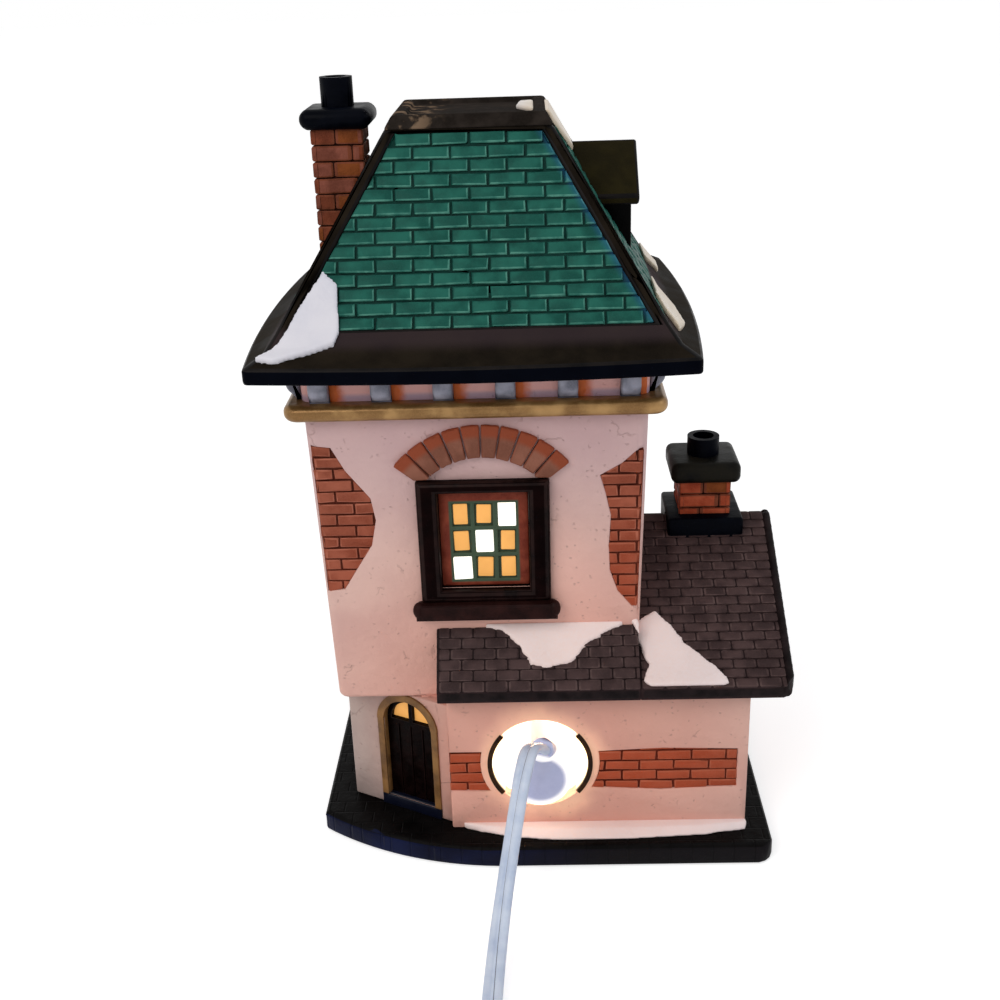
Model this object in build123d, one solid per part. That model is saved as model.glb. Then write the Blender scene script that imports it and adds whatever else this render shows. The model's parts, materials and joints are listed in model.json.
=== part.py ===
from build123d import *
import math
import os

# Ceramic village house, seen from its lamp side along +Y. Millimetres, Z up, base underside at Z = 0.
# Places are measured from the vertical axis of the tower. The export moves the middle of the house to X = 0.

# Casting
wall = 4.0
overrun = 8.0                  # how far a cutting tool passes what it cuts
snow_depth = 1.5               # snow, measured straight up

# Base slab
base_thick = 6.5
base_left_reach = 7.6          # base beyond the walls that stand on it
base_right_reach = 7.0
base_reach = 10.0
base_sweep_run = 52.4          # rounded near left corner, along the near edge
base_sweep_rise = 19.0         # and along the left edge
base_sweep_bulge = 4.4
base_far_round = 8.0
base_edge_round = 1.5

# Street-level walls
jetty_z = 46.8                 # underside of the upper storey
jetty_reach = 0.9
door_corner = 31.5             # where the slanted door wall leaves the left wall
door_step = 2.7                # how far the door wall ends behind the annex wall
pier_depth = 12.0

# Annex
annex_left = 11.4
annex_rear_out = 7.2           # rear wall of the annex beyond the tower's
annex_gable = 74.0
annex_front_in = 2.8           # front wall of the annex inside the tower's
annex_eave = 5.5
annex_verge = 11.0
annex_eave_z = 52.4
annex_ridge_z = 86.0
annex_roof_thick = 3.4
pent_verge = 2.0
pent_top_z = 69.5
annex_slate_courses = 20
pent_slate_courses = 6
slate_lap = 0.6                # how far a course stands over the one below

# Upper storey
tower_foot_half = 42.8
tower_top_half = 45.4
tower_corner_round = 3.0
tower_foot_round = 1.6
floor_thick = 4.0
stair_half = 24.0              # light well in the floor

# Cornice
cornice_z = 133.0
cornice_high = 4.5
cornice_reach = 4.6
cornice_corner = 4.0
cornice_round_share = 0.45     # of the moulding's height
bracket_wide = 5.2
bracket_deep = 4.0
bracket_spacing = 16.0
bracket_count = 6
bracket_bevel = 2.8

# Main roof
eave_z = 146.0
fascia_high = 4.0
eave_half = 57.0
eave_bow = 3.1
break_half = 49.4
break_z = 156.7
skirt_dip = 0.8                # how far the skirt sags below a straight line
deck_half = 19.7
deck_z = 205.4
deck_thick = 3.2
deck_rim = 3.0
deck_sunk = 1.2
hip_rib = 3.4
panel_foot = 0.9
panel_head = 0.9
panel_sunk = 1.6
slate_back = 0.8
slate_proud = 0.7
slate_courses = 14
slate_long = 9.0
slate_joint = 0.6

# Snow on the main roof, as shares of the half width of the eave: rear left hip, right skirt near and far.
hip_snow_shares = [
    (-0.65, -0.73), (-0.59, -0.76), (-0.58, -0.87), (-0.60, -0.91), (-0.76, -0.95), (-0.86, -0.98), (-0.94, -0.96),
    (-0.84, -0.90), (-0.75, -0.81)]
skirt_snow_shares = [(0.83, -0.62), (0.92, -0.75), (0.96, -0.60), (0.94, -0.38), (0.84, -0.20)]
far_snow_shares = [(0.86, 0.40), (0.93, 0.38), (0.94, 0.62), (0.86, 0.72)]
# Snow over the right end of the deck, as shares of its half width.
crown_snow_shares = [
    (0.62, -0.10), (0.66, 0.40), (0.95, 0.52), (1.36, 0.30), (1.38, -0.25), (1.08, -0.85), (0.88, -0.62)]
# Snow on the annex, as shares of the tower's half width and of the pent roof's depth out from the wall.
drift_snow_shares = [
    (-0.01, -0.3), (-0.01, 0.03), (0.10, 0.12), (0.20, 0.37), (0.29, 0.61), (0.42, 0.70), (0.58, 0.62), (0.70, 0.35),
    (0.83, 0.12), (0.95, 0.02), (0.95, -0.3)]
tongue_snow_shares = [
    (0.96, -0.05), (1.02, -0.38), (1.13, -0.61), (1.28, -0.10), (1.40, 0.33), (1.57, 0.94), (1.54, 0.99), (1.05, 0.99),
    (1.02, 0.90), (1.06, 0.53), (0.99, 0.17)]
# Snow banked at the foot of the annex, as shares of the annex's reach to the right and of the base in front of it.
bank_snow_shares = [
    (-0.10, 0.0), (-0.04, 0.25), (0.12, 0.56), (0.27, 0.72), (0.58, 0.68), (0.82, 0.54), (0.995, 0.29), (0.995, 0.0)]
bank_high = 1.8
bank_top_share = 0.5           # how much of its reach the bank keeps at its top

# Main chimney, on the left slope
chimney_x = 36.0
chimney_wide = 14.4
chimney_top_z = 201.0
chimney_cap_wide = 19.2
chimney_cap_high = 5.4
chimney_cap_bevel = 1.6
chimney_pot_radius = 4.4
chimney_pot_high = 7.6
chimney_pot_wall = 1.6

# Dormer, on the right slope
dormer_face = 42.5
dormer_half = 11.0
dormer_eave_half = 14.0
dormer_eave_z = 180.0
dormer_ridge_z = 195.5
dormer_roof_thick = 2.6
dormer_verge = 2.0
dormer_pane_wide = 10.0
dormer_pane_high = 9.0
dormer_pane_z = 176.5
dormer_pane_deep = 1.2
dormer_bar = 1.0

# Annex chimney
annex_chimney_x = 65.0
annex_chimney_y = -1.6
annex_stack_wide = 15.4
annex_stack_z = 87.6
annex_stack_top_z = 98.0
annex_flashing_wide = 22.2
annex_cap_wide = 21.6
annex_cap_high = 6.4
annex_cap_slope = 2.8
annex_pot_radius = 4.7
annex_pot_high = 5.4

# Upper window, on the rear and again on the front
window_x = 1.0
window_z = 97.0
frame_wide = 35.6
frame_high = 36.0
frame_proud = 3.0
frame_bevel = 0.9
sash_wide = 24.0
sash_high = 29.0
sash_inset = 0.8
sash_thick = 2.0
pane_wide = 4.9
pane_high = 6.8
glazing_bar = 1.2
pane_count = 3
pane_drop = 1.1                # middle of the panes below the middle of the casing
film_thick = 0.4
sill_wide = 39.0
sill_high = 5.0
sill_proud = 5.0
sill_round = 1.6

# Brick arch over the window
arch_drop = 14.6               # centre of the arch below the top of the casing
arch_outer = 30.0
arch_inner = 21.0
arch_half_angle = 51.0
arch_bricks = 10
arch_proud = 1.6
arch_joint = 0.5
arch_gap = 0.3

# Brickwork that shows where the plaster is broken away
brick_long = 9.4
brick_high = 2.85
brick_joint = 0.5
brick_sunk = 0.9
brick_recess = 0.25
left_patch_wide = 17.3
left_patch_low_z = 81.9
left_patch_high_z = 125.4
right_patch_wide = 13.1
right_patch_low_z = 75.4
right_patch_high_z = 122.6
chimney_brick_high = 3.7
chimney_joint = 0.6
course_groove_deep = 0.4       # mortar joints of the chimney stacks
band_low_z = 19.0
band_high_z = 33.0
band_hole_gap = 2.6
band_end = 3.0
# Wavy inner edges, as shares of a patch's width and height, from bottom to top.
left_patch_shares = [
    (0.13, 0.0), (0.42, 0.01), (0.69, 0.18), (0.91, 0.32), (1.0, 0.49), (0.94, 0.64), (0.58, 0.83), (0.39, 0.98),
    (0.08, 1.0)]
right_patch_shares = [
    (0.34, 0.0), (0.63, 0.10), (0.80, 0.24), (0.82, 0.40), (0.78, 0.59), (0.90, 0.74), (1.0, 0.84), (0.56, 0.91),
    (0.21, 1.0)]
band_edge_shares = [(0.0, 0.04), (0.22, 0.0), (0.48, 0.07), (0.74, 0.0), (1.0, 0.05)]

# Doors, rear (slanted wall) and front
door_along = 20.5              # middle of the rear door along its wall
front_door_x = -14.0
door_half = 8.1
door_threshold = 3.6
door_head_room = 2.4
surround_wide = 2.2
surround_proud = 0.7
leaf_inset = 1.5
leaf_thick = 1.6
leaf_rail = 1.5
leaf_planks = 4
plank_groove = 0.5
plank_groove_deep = 0.4
fanlight_high = 8.0
fanlight_bar = 1.3

# Lamp hole and lamp holder
lamp_x = 14.65
lamp_z = 28.65
hole_radius = 14.5
socket_radius = 8.5
socket_long = 23.0
socket_out = 8.0               # how far the socket stands out of the wall
socket_floor = 5.0
shell_thick = 0.4
shell_clear = 0.05
shell_long = 15.0
contact_radius = 2.4
contact_thick = 0.8
sleeve_radius = 3.4
sleeve_long = 10.0
clip_thick = 0.6
clip_clear = 0.2
clip_angle = 84.0
clip_collar_long = 8.0
clip_reach = 14.0              # how far the clips stand in the room, from the outside of the wall
clip_ear = 0.8

# Lamp
thread_radius = 5.9
thread_clear = 0.1
button_radius = 2.0
button_long = 0.8
cone_long = 3.0
thread_long = 11.0
neck_radius = 5.5
neck_long = 4.0
belly_radius = 11.0
belly_at = 15.0
glass_long = 38.0
tip_radius = 0.8
swell_share = 0.72             # how full the glass is between neck and belly
taper_shares = (0.72, 0.56)    # a point of the taper, out to the belly and up to the tip
glass_wall = 0.7
stem_radius = 2.4
stem_long = 11.0
lead_radius = 0.3
lead_spread = 2.0
lead_long = 8.0
filament_radius = 0.45

# Flat twin cord
cord_wide = 5.4
cord_thick = 2.7
cord_flat_share = 0.7          # how much of its width is flat
# Route of the lead, from the lamp holder to the coil, chosen by hand.
lead_route = [
    (15.2, -57.4, 38.2),
    (12.4, -63.4, 44.4),
    (10.2, -72.2, 41.8),
    (7.7, -78.6, 30.0),
    (5.0, -86.4, 16.6),
    (2.9, -97.0, 7.2),
    (1.6, -113.0, 3.0),
    (0.8, -132.0, 2.3),
    (0.4, -150.0, 2.3),
    (0.4, -166.6, 2.3),
]
bend_share = 0.45              # how much of a run the arc at its end may take
coil_outer = 43.0
coil_inner = 22.0
coil_step = 3.0                # the spiral draws in by this much in each half turn
coil_layer = 3.6
coil_tail_out = 11.0
coil_tail_long = 12.0
tie_thick = 0.5
tie_wide = 6.0
tie_gap = 0.4

# Plug
plug_long = 30.0
plug_wide = 17.0
plug_nose_wide = 11.0
plug_round = 1.2
plug_shoulder_share = 0.45
blade_long = 16.0
blade_wide = 6.3
blade_thick = 1.5
blade_spacing = 12.7
blade_sunk = 5.0

# Derived sizes
ground_half = tower_foot_half - jetty_reach
annex_rear = tower_foot_half + annex_rear_out
annex_front = tower_foot_half - annex_front_in
base_left = tower_foot_half + base_left_reach
base_right = annex_gable + base_right_reach
base_half_depth = annex_rear + base_reach
annex_ridge_y = (annex_front - annex_rear) / 2
annex_half_span = (annex_front + annex_rear) / 2 + annex_eave
door_end = annex_rear - door_step
roof_reach = eave_half + eave_bow
frame_shift = (roof_reach - annex_gable - annex_verge) / 2
roof_rise = deck_z - break_z
roof_run = break_half - deck_half
slope_long = math.hypot(roof_rise, roof_run)
top_z = deck_z - deck_thick
top_half = deck_half + roof_run * deck_thick / roof_rise
socket_rear_y = -annex_rear - socket_out
socket_front_y = socket_rear_y + socket_long
shell_inner = thread_radius + thread_clear
cavity_radius = shell_inner + shell_thick + shell_clear
cavity_y = socket_rear_y + socket_floor
base_y = cavity_y + contact_thick
neck_y = base_y + button_long + cone_long + thread_long
lamp_place = Pos(lamp_x, 0, lamp_z)
cord_rest_z = lead_route[-1][2]  # middle of the cord where it lies in the coil


def save(name, shape):
    """Writes one sub-part, in the frame whose origin is under the middle of the house."""
    export_step(Pos(frame_shift, 0, 0) * shape, f"parts/{name}.step")


def block(x0, x1, y0, y1, z0, z1):
    """A box between two corners."""
    middle = Pos((x0 + x1) / 2, (y0 + y1) / 2, (z0 + z1) / 2)
    return middle * Box(x1 - x0, y1 - y0, z1 - z0)


def frustum(low_half, low_z, high_half, high_z):
    """A square frustum on the tower's axis."""
    low = Pos(0, 0, low_z) * Rectangle(2 * low_half, 2 * low_half)
    high = Pos(0, 0, high_z) * Rectangle(2 * high_half, 2 * high_half)
    return loft([low.face(), high.face()], ruled=True)


def prism_along_x(points, x0, x1):
    """A solid with the given outline in Y and Z, from x0 to x1."""
    outline = Plane.YZ.offset(x0) * make_face(Polyline(*points, close=True))
    return extrude(outline, x1 - x0, dir=(1, 0, 0))


def turned(points):
    """A solid of revolution on the lamp axis, from an outline of radius and Y."""
    return lamp_place * revolve(make_face(Polyline(*points, close=True)), axis=Axis.Y)


def tower_half_at(z):
    """Half the width of the upper storey at a height."""
    share = (z - jetty_z) / (eave_z - jetty_z)
    return tower_foot_half + (tower_top_half - tower_foot_half) * share


def base_slab():
    left, near = -base_left, -base_half_depth
    start = Vector(left + base_sweep_run, near)
    end = Vector(left, near + base_sweep_rise)
    across = (end - start).normalized()
    bulge = (start + end) * 0.5 + Vector(across.Y, -across.X) * -base_sweep_bulge
    sweep_edge = ThreePointArc(start, bulge, end)
    rest = Polyline(end, (left, base_half_depth), (base_right, base_half_depth), (base_right, near), start)
    outline = make_face([sweep_edge, rest])
    far = outline.vertices().filter_by(lambda v: v.Y > 0)
    slab = extrude(fillet(far, base_far_round), base_thick)
    return fillet(slab.faces().sort_by(Axis.Z)[-1].edges(), base_edge_round)


def tower_solid():
    """The outside of the upper storey, whole, for what leans on it."""
    solid = frustum(tower_foot_half, jetty_z, tower_top_half, eave_z)
    upright = solid.edges().filter_by(lambda e: abs(e.tangent_at(0.5).Z) > 0.9)
    solid = fillet(upright, tower_corner_round)
    return fillet(solid.faces().sort_by(Axis.Z)[0].edges(), tower_foot_round)


def rear_wall_plane():
    """The outside of the rear wall of the upper storey, X across and Y up the wall."""
    lean = (tower_top_half - tower_foot_half) / (eave_z - jetty_z)
    return Plane((0, -tower_foot_half, jetty_z), x_dir=(1, 0, 0), z_dir=(0, -1, -lean))


def on_wall(x, z, depth=0.0):
    """A place on the rear wall, with Z outwards."""
    return rear_wall_plane() * Pos(x, z - jetty_z, depth)


def patch_outline(side, wide, low_z, high_z, shares):
    """A wavy patch at one end of the rear wall; side is -1 on the left and 1 on the right."""
    edge = side * tower_top_half
    inner = [(edge - side * wide * s, low_z + (high_z - low_z) * t - jetty_z) for s, t in shares]
    outer = [(edge + side * overrun, inner[-1][1]), (edge + side * overrun, inner[0][1])]
    return make_face(Polyline(*inner, *outer, close=True))


def wall_patches():
    left = patch_outline(-1, left_patch_wide, left_patch_low_z, left_patch_high_z, left_patch_shares)
    right = patch_outline(1, right_patch_wide, right_patch_low_z, right_patch_high_z, right_patch_shares)
    return [left, right]


def brickwork(outline):
    """Bricks in running bond inside an outline, as flat faces."""
    box = outline.bounding_box()
    pitch, course = brick_long + brick_joint, brick_high + brick_joint
    bricks = []
    for row in range(math.ceil(box.size.Y / course)):
        y = box.min.Y + course * row + brick_high / 2
        for place in range(math.ceil(box.size.X / pitch) + 1):
            x = box.min.X + pitch * (place + (row % 2) / 2)
            bricks.append(Pos(x, y) * Rectangle(brick_long, brick_high))
    least = brick_high * brick_high / 4
    return [face for face in (outline & (Sketch() + bricks)).faces() if face.area > least]


def brick_blocks(plane, outline):
    """Bricks that stand on the floor of a sunk patch."""
    faces = [plane * Pos(0, 0, -brick_sunk) * face for face in brickwork(outline)]
    return [extrude(face, brick_sunk - brick_recess) for face in faces]


def window_opening():
    cutter = Box(sash_wide, sash_high, 2 * wall + overrun)
    return on_wall(window_x, window_z) * cutter


def upper_storey(tower):
    room = frustum(tower_half_at(jetty_z) - wall, jetty_z + floor_thick, tower_top_half - wall, eave_z + overrun)
    shell = tower - room - block(-stair_half, stair_half, -stair_half, stair_half, jetty_z - overrun, deck_z)
    for outline in wall_patches():
        shell -= extrude(rear_wall_plane() * Pos(0, 0, -brick_sunk) * outline, brick_sunk + overrun)
    shell -= window_opening()
    return shell - Rot(0, 0, 180) * window_opening()


def brick_patches(tower):
    bricks = [b for outline in wall_patches() for b in brick_blocks(rear_wall_plane(), outline)]
    return Part() + [solid for b in bricks for solid in (b & tower).solids()]


def window_frame():
    face = Rectangle(frame_wide, frame_high) - Rectangle(sash_wide, sash_high)
    frame = extrude(face, frame_proud)
    front = frame.faces().sort_by(Axis.Z)[-1]
    return on_wall(window_x, window_z) * chamfer(front.edges(), frame_bevel)


def window_sill():
    sill = Pos(0, 0, sill_proud / 2) * Box(sill_wide, sill_high, sill_proud)
    sill = fillet(sill.faces().sort_by(Axis.Z)[-1].edges(), sill_round)
    return on_wall(window_x, window_z - (frame_high + sill_high) / 2) * sill


def window_sash():
    grid = GridLocations(pane_wide + glazing_bar, pane_high + glazing_bar, pane_count, pane_count)
    panes = [Pos(0, -pane_drop) * place * Rectangle(pane_wide, pane_high) for place in grid]
    face = Rectangle(sash_wide, sash_high) - panes
    return on_wall(window_x, window_z, -sash_inset - sash_thick) * extrude(face, sash_thick)


def window_film():
    sheet = extrude(Rectangle(sash_wide, sash_high), film_thick)
    return on_wall(window_x, window_z, -sash_inset - sash_thick - film_thick) * sheet


def window_arch():
    """Separate arch bricks, trimmed where they spring from the casing."""
    centre_z = window_z + frame_high / 2 - arch_drop
    each = 2 * arch_half_angle / arch_bricks
    joint = math.degrees(arch_joint / arch_outer)
    bricks = []
    for place in range(arch_bricks):
        start = 90 - arch_half_angle + each * place + joint / 2
        outer = CenterArc((0, 0), arch_outer, start, each - joint)
        inner = CenterArc((0, 0), arch_inner, start, each - joint)
        sides = [Line(outer @ 0, inner @ 0), Line(outer @ 1, inner @ 1)]
        bricks.append(extrude(make_face([outer, inner, *sides]), arch_proud))
    casing = Box(frame_wide + 2 * arch_gap, frame_high + 2 * arch_gap, 2 * frame_proud)
    casing = Pos(0, arch_drop - frame_high / 2) * casing
    return on_wall(window_x, centre_z) * (Part() + [brick - casing for brick in bricks])


def door_plane():
    """The outside of the slanted rear wall at the middle of its door, X along the wall and Y up."""
    start = Vector(-ground_half, -door_corner)
    along = (Vector(-annex_left, -door_end) - start).normalized()
    return Plane(start + along * door_along, x_dir=along, z_dir=(along.Y, -along.X, 0))


def front_door_plane():
    return Plane((front_door_x, ground_half, 0), x_dir=(-1, 0, 0), z_dir=(0, 1, 0))


def arched(half, foot, crown):
    """A round-headed outline."""
    spring = crown - half
    return Pos(0, (foot + spring) / 2) * Rectangle(2 * half, spring - foot) + Pos(0, spring) * Circle(half)


def door_outline():
    return arched(door_half, base_thick + door_threshold, jetty_z - door_head_room)


def door_surround(plane):
    outer = arched(door_half + surround_wide, base_thick, jetty_z - door_head_room + surround_wide)
    return plane * extrude(outer - door_outline(), surround_proud)


def fanlight(half):
    """The rounded top of the door opening above its transom."""
    crown = jetty_z - door_head_room
    above = Pos(0, crown - fanlight_high / 2) * Rectangle(2 * door_half, fanlight_high)
    return (Pos(0, crown - door_half) * Circle(half)) & above


def door_leaf(plane):
    crown = jetty_z - door_head_room
    panes = fanlight(door_half - leaf_rail) - Pos(0, crown) * Rectangle(fanlight_bar, 2 * fanlight_high)
    leaf = extrude(door_outline() - panes, leaf_thick)
    foot, head = base_thick + door_threshold, crown - fanlight_high - leaf_rail
    plank = 2 * door_half / leaf_planks
    for place in range(1, leaf_planks):
        groove = Box(plank_groove, head - foot, 2 * plank_groove_deep)
        leaf -= Pos(place * plank - door_half, (head + foot) / 2, leaf_thick) * groove
    return plane * Pos(0, 0, -leaf_inset - leaf_thick) * leaf


def door_film(plane):
    return plane * Pos(0, 0, -leaf_inset - leaf_thick - film_thick) * extrude(fanlight(door_half), film_thick)


def tower_ground_walls():
    near, half = -door_end, ground_half
    corners = [(-half, -door_corner), (-annex_left, near), (half, near), (half, half), (-half, half)]
    outline = make_face(Polyline(*corners, close=True))
    ring = outline - offset(outline, -wall)
    walls = extrude(Pos(0, 0, base_thick) * ring, jetty_z - base_thick)
    walls -= block(-annex_left, half + overrun, near - overrun, half - pier_depth, 0, deck_z)
    for plane in (door_plane(), front_door_plane()):
        walls -= plane * extrude(door_outline(), 2 * wall, both=True)
    return walls


def annex_roof_line(lift):
    """Rear eave, ridge and front eave of the annex roof, raised from its underside."""
    rise = annex_ridge_z - annex_roof_thick
    rear = (annex_ridge_y - annex_half_span, annex_eave_z + lift)
    front = (annex_ridge_y + annex_half_span, annex_eave_z + lift)
    return [rear, (annex_ridge_y, rise + lift), front]


def hole_cutter(radius):
    hole = Rot(90, 0, 0) * Cylinder(radius, 2 * (wall + overrun))
    return Pos(lamp_x, -annex_rear, lamp_z) * hole


def band_plane():
    return Plane((0, -annex_rear, 0), x_dir=(1, 0, 0), z_dir=(0, -1, 0))


def band_outline():
    """The brick band on the annex wall, with uneven edges and a gap round the lamp hole."""
    long = annex_gable - band_end + annex_left
    high = band_high_z - band_low_z
    low = [(-annex_left + long * s, band_low_z + high * t) for s, t in band_edge_shares]
    top = [(-annex_left + long * s, band_high_z - high * t) for s, t in reversed(band_edge_shares)]
    band = make_face(Polyline(*low, *top, close=True))
    return band - Pos(lamp_x, lamp_z) * Circle(hole_radius + band_hole_gap)


def above_annex():
    """Everything above the underside of the annex roof."""
    above = [*annex_roof_line(0), *reversed(annex_roof_line(annex_ridge_z))]
    return prism_along_x(above, tower_foot_half, annex_gable + overrun)


def annex_rear_wall(tower):
    """The flat wall with the lamp hole, lower under the pent roof, with a return to the tower at its left end."""
    rear = block(-annex_left, annex_gable, -annex_rear, wall - annex_rear, base_thick, annex_ridge_z)
    rear -= block(-annex_left - overrun, tower_foot_half, -annex_rear - overrun, 0, annex_eave_z, deck_z)
    rear -= extrude(band_plane() * Pos(0, 0, -brick_sunk) * band_outline(), brick_sunk + overrun)
    rear += block(-annex_left, wall - annex_left, wall - annex_rear, -tower_foot_half, jetty_z, annex_eave_z)
    return rear - above_annex() - hole_cutter(hole_radius) - tower


def annex_gable_walls(tower):
    """The gable end and the front wall of the annex."""
    gable = block(annex_gable - wall, annex_gable, wall - annex_rear, annex_front, base_thick, annex_ridge_z)
    front = block(ground_half, annex_gable, annex_front - wall, annex_front, base_thick, annex_ridge_z)
    beside_tower = block(0, tower_foot_half, 0, tower_foot_half, jetty_z, deck_z)
    return gable + front - above_annex() - tower - beside_tower


def annex_brick_band():
    return Part() + brick_blocks(band_plane(), band_outline())


def lapped(start, end, courses):
    """Points up a slope whose slates lap in courses, each standing proud at its lower edge."""
    rise = Vector(*end) - Vector(*start)
    points = []
    for course in range(courses):
        low, high = Vector(*start) + rise * (course / courses), Vector(*start) + rise * ((course + 1) / courses)
        points += [(low.X, low.Y + slate_lap), (high.X, high.Y)]
    return points


def annex_roof(tower, slated):
    """The annex roof, either slated or with plain slopes."""
    rear, ridge, front = annex_roof_line(annex_roof_thick)
    under = annex_roof_line(0)
    top = [rear, ridge, front]
    if slated:
        far = lapped(front, ridge, annex_slate_courses)[:-1]
        top = [*lapped(rear, ridge, annex_slate_courses), *reversed(far)]
    return prism_along_x([*top, *reversed(under)], tower_foot_half, annex_gable + annex_verge) - tower


def pent_roof(tower, slated):
    """The short roof under the rear window, either slated or with a plain slope."""
    rear = annex_ridge_y - annex_half_span
    wall_y = -tower_half_at(pent_top_z)
    eave, head = (rear, annex_eave_z + annex_roof_thick), (wall_y, pent_top_z)
    top = lapped(eave, head, pent_slate_courses) if slated else [eave, head]
    outline = [(rear, annex_eave_z), *top, (wall_y + wall, pent_top_z), (wall_y + wall, annex_eave_z)]
    return prism_along_x(outline, -annex_left - pent_verge, tower_foot_half) - tower


def cornice_moulding(tower):
    half = tower_half_at(cornice_z) + cornice_reach
    face = RectangleRounded(2 * half, 2 * half, cornice_corner)
    ring = extrude(Pos(0, 0, cornice_z) * face, cornice_high)
    ends = ring.faces().sort_by(Axis.Z)
    ring = fillet(ends[0].edges() + ends[-1].edges(), cornice_high * cornice_round_share)
    return ring - tower


def cornice_brackets(tower):
    low, high = cornice_z + cornice_high, eave_z
    half = tower_top_half
    bracket = block(-bracket_wide / 2, bracket_wide / 2, -half - bracket_deep, wall - half, low, high)
    toe = bracket.edges().filter_by(Axis.X).sort_by(lambda e: e.center().Y + e.center().Z)[0]
    bracket = chamfer(toe, bracket_bevel) - tower
    row = [Pos((place - (bracket_count - 1) / 2) * bracket_spacing, 0, 0) * bracket for place in range(bracket_count)]
    return Part() + [Rot(0, 0, 90 * side) * each for side in range(4) for each in row]


def roof_section(half, bow, z):
    """A square section of the roof whose sides bow outwards."""
    corners = [Vector(-half, -half, z), Vector(half, -half, z), Vector(half, half, z), Vector(-half, half, z)]
    edges = []
    for place, start in enumerate(corners):
        end = corners[(place + 1) % len(corners)]
        middle = (start + end) * 0.5
        out = Vector(middle.X, middle.Y).normalized() * bow
        edges.append(ThreePointArc(start, middle + out, end) if bow else Line(start, end))
    return make_face(edges)


def roof_solid():
    """The main roof without its hollow: fascia, sagging skirt and steep slopes."""
    eave = roof_section(eave_half, eave_bow, eave_z + fascia_high)
    sag_z = (eave_z + fascia_high + break_z) / 2 - skirt_dip
    sag = roof_section((eave_half + break_half) / 2 - skirt_dip, eave_bow / 2, sag_z)
    skirt = loft([eave, sag], ruled=True) + loft([sag, roof_section(break_half, 0, break_z)], ruled=True)
    return frustum(break_half, break_z, top_half, top_z) + skirt + extrude(eave, -fascia_high)


def slope_plane():
    """The rear slope, X across and Y up the slope."""
    return Plane((0, -break_half, break_z), x_dir=(1, 0, 0), z_dir=(0, -roof_rise, roof_run))


def panel_outline():
    """The sunk field of the rear slope between its hips."""
    inset = roof_run / slope_long
    low, high = panel_foot, slope_long * (top_z - break_z) / roof_rise - panel_head
    low_half = break_half - inset * low - hip_rib
    high_half = break_half - inset * high - hip_rib
    return make_face(Polyline((-low_half, low), (low_half, low), (high_half, high), (-high_half, high), close=True))


def slate_panel():
    """The rear field of slates: courses in running bond on a thin back."""
    outline = panel_outline()
    box = outline.bounding_box()
    course = (box.size.Y + slate_joint) / slate_courses
    slates = []
    for row in range(slate_courses):
        y = box.min.Y + course * (row + 0.5) - slate_joint / 2
        for place in range(-slate_courses, slate_courses):
            x = (slate_long + slate_joint) * (place + (row % 2) / 2)
            if abs(x) < box.max.X + slate_long / 2:
                slates.append(Pos(x, y) * Rectangle(slate_long, course - slate_joint))
    least = course * course / 8
    faces = [face for face in (outline & (Sketch() + slates)).faces() if face.area > least]
    back = extrude(outline, slate_back)
    raised = [extrude(Pos(0, 0, slate_back) * face, slate_proud) for face in faces]
    return slope_plane() * Pos(0, 0, -panel_sunk) * (back + raised)


def panel_pockets(solid):
    pocket = slope_plane() * Pos(0, 0, -panel_sunk) * extrude(panel_outline(), panel_sunk + overrun)
    for side in range(4):
        solid -= Rot(0, 0, 90 * side) * pocket
    return solid


def roof_hollow():
    """The space under the roof, a wall's thickness inside its slopes."""
    inset = (wall + panel_sunk) * slope_long / roof_rise
    low_half = min(break_half - inset, tower_top_half - wall)
    loft_top = top_z - wall
    head = break_half - inset - roof_run * (loft_top - break_z) / roof_rise
    return frustum(low_half, break_z, head, loft_top) + frustum(low_half, eave_z - overrun, low_half, break_z)


def roof_deck():
    deck = frustum(top_half, top_z, deck_half, deck_z)
    inside = deck_half - deck_rim
    return deck - block(-inside, inside, -inside, inside, deck_z - deck_sunk, deck_z + overrun)


def dormer_line(half, drop):
    """Eave, ridge and eave of the dormer roof, lowered from its top, out to a half width."""
    fall = (dormer_ridge_z - dormer_roof_thick - dormer_eave_z) / dormer_eave_half
    ridge = dormer_ridge_z - drop
    return [(-half, ridge - fall * half), (0, ridge), (half, ridge - fall * half)]


def dormer_body_solid():
    top = dormer_line(dormer_half, dormer_roof_thick)
    outline = [*top, (dormer_half, break_z), (-dormer_half, break_z)]
    return prism_along_x(outline, 0, dormer_face)


def dormer_roof_solid():
    top = dormer_line(dormer_eave_half, 0)
    under = dormer_line(dormer_eave_half, dormer_roof_thick)
    return prism_along_x([*top, *reversed(under)], 0, dormer_face + dormer_verge)


def dormer_pane_place():
    return Plane((dormer_face, 0, dormer_pane_z), x_dir=(0, 1, 0), z_dir=(1, 0, 0))


def dormer_pocket():
    pane = extrude(Rectangle(dormer_pane_wide, dormer_pane_high), 2 * dormer_pane_deep, both=True)
    return dormer_pane_place() * (pane & Pos(0, 0, dormer_pane_deep) * Box(overrun * 4, overrun * 4, 4 * dormer_pane_deep))


def dormer_window():
    """A cross-barred pane that fills the pocket in the dormer's face."""
    opening = ((dormer_pane_wide - 3 * dormer_bar) / 2, (dormer_pane_high - 3 * dormer_bar) / 2)
    grid = GridLocations(opening[0] + dormer_bar, opening[1] + dormer_bar, 2, 2)
    sash = extrude(Rectangle(dormer_pane_wide, dormer_pane_high), dormer_pane_deep)
    for place in grid:
        sash -= Pos(0, 0, dormer_pane_deep) * place * Box(*opening, dormer_pane_deep)
    return dormer_pane_place() * Pos(0, 0, -dormer_pane_deep) * sash


def chimney_column():
    """The main chimney's stack before the roof slope cuts it."""
    half = chimney_wide / 2
    return block(-chimney_x - half, half - chimney_x, -half, half, break_z, chimney_top_z)


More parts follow.
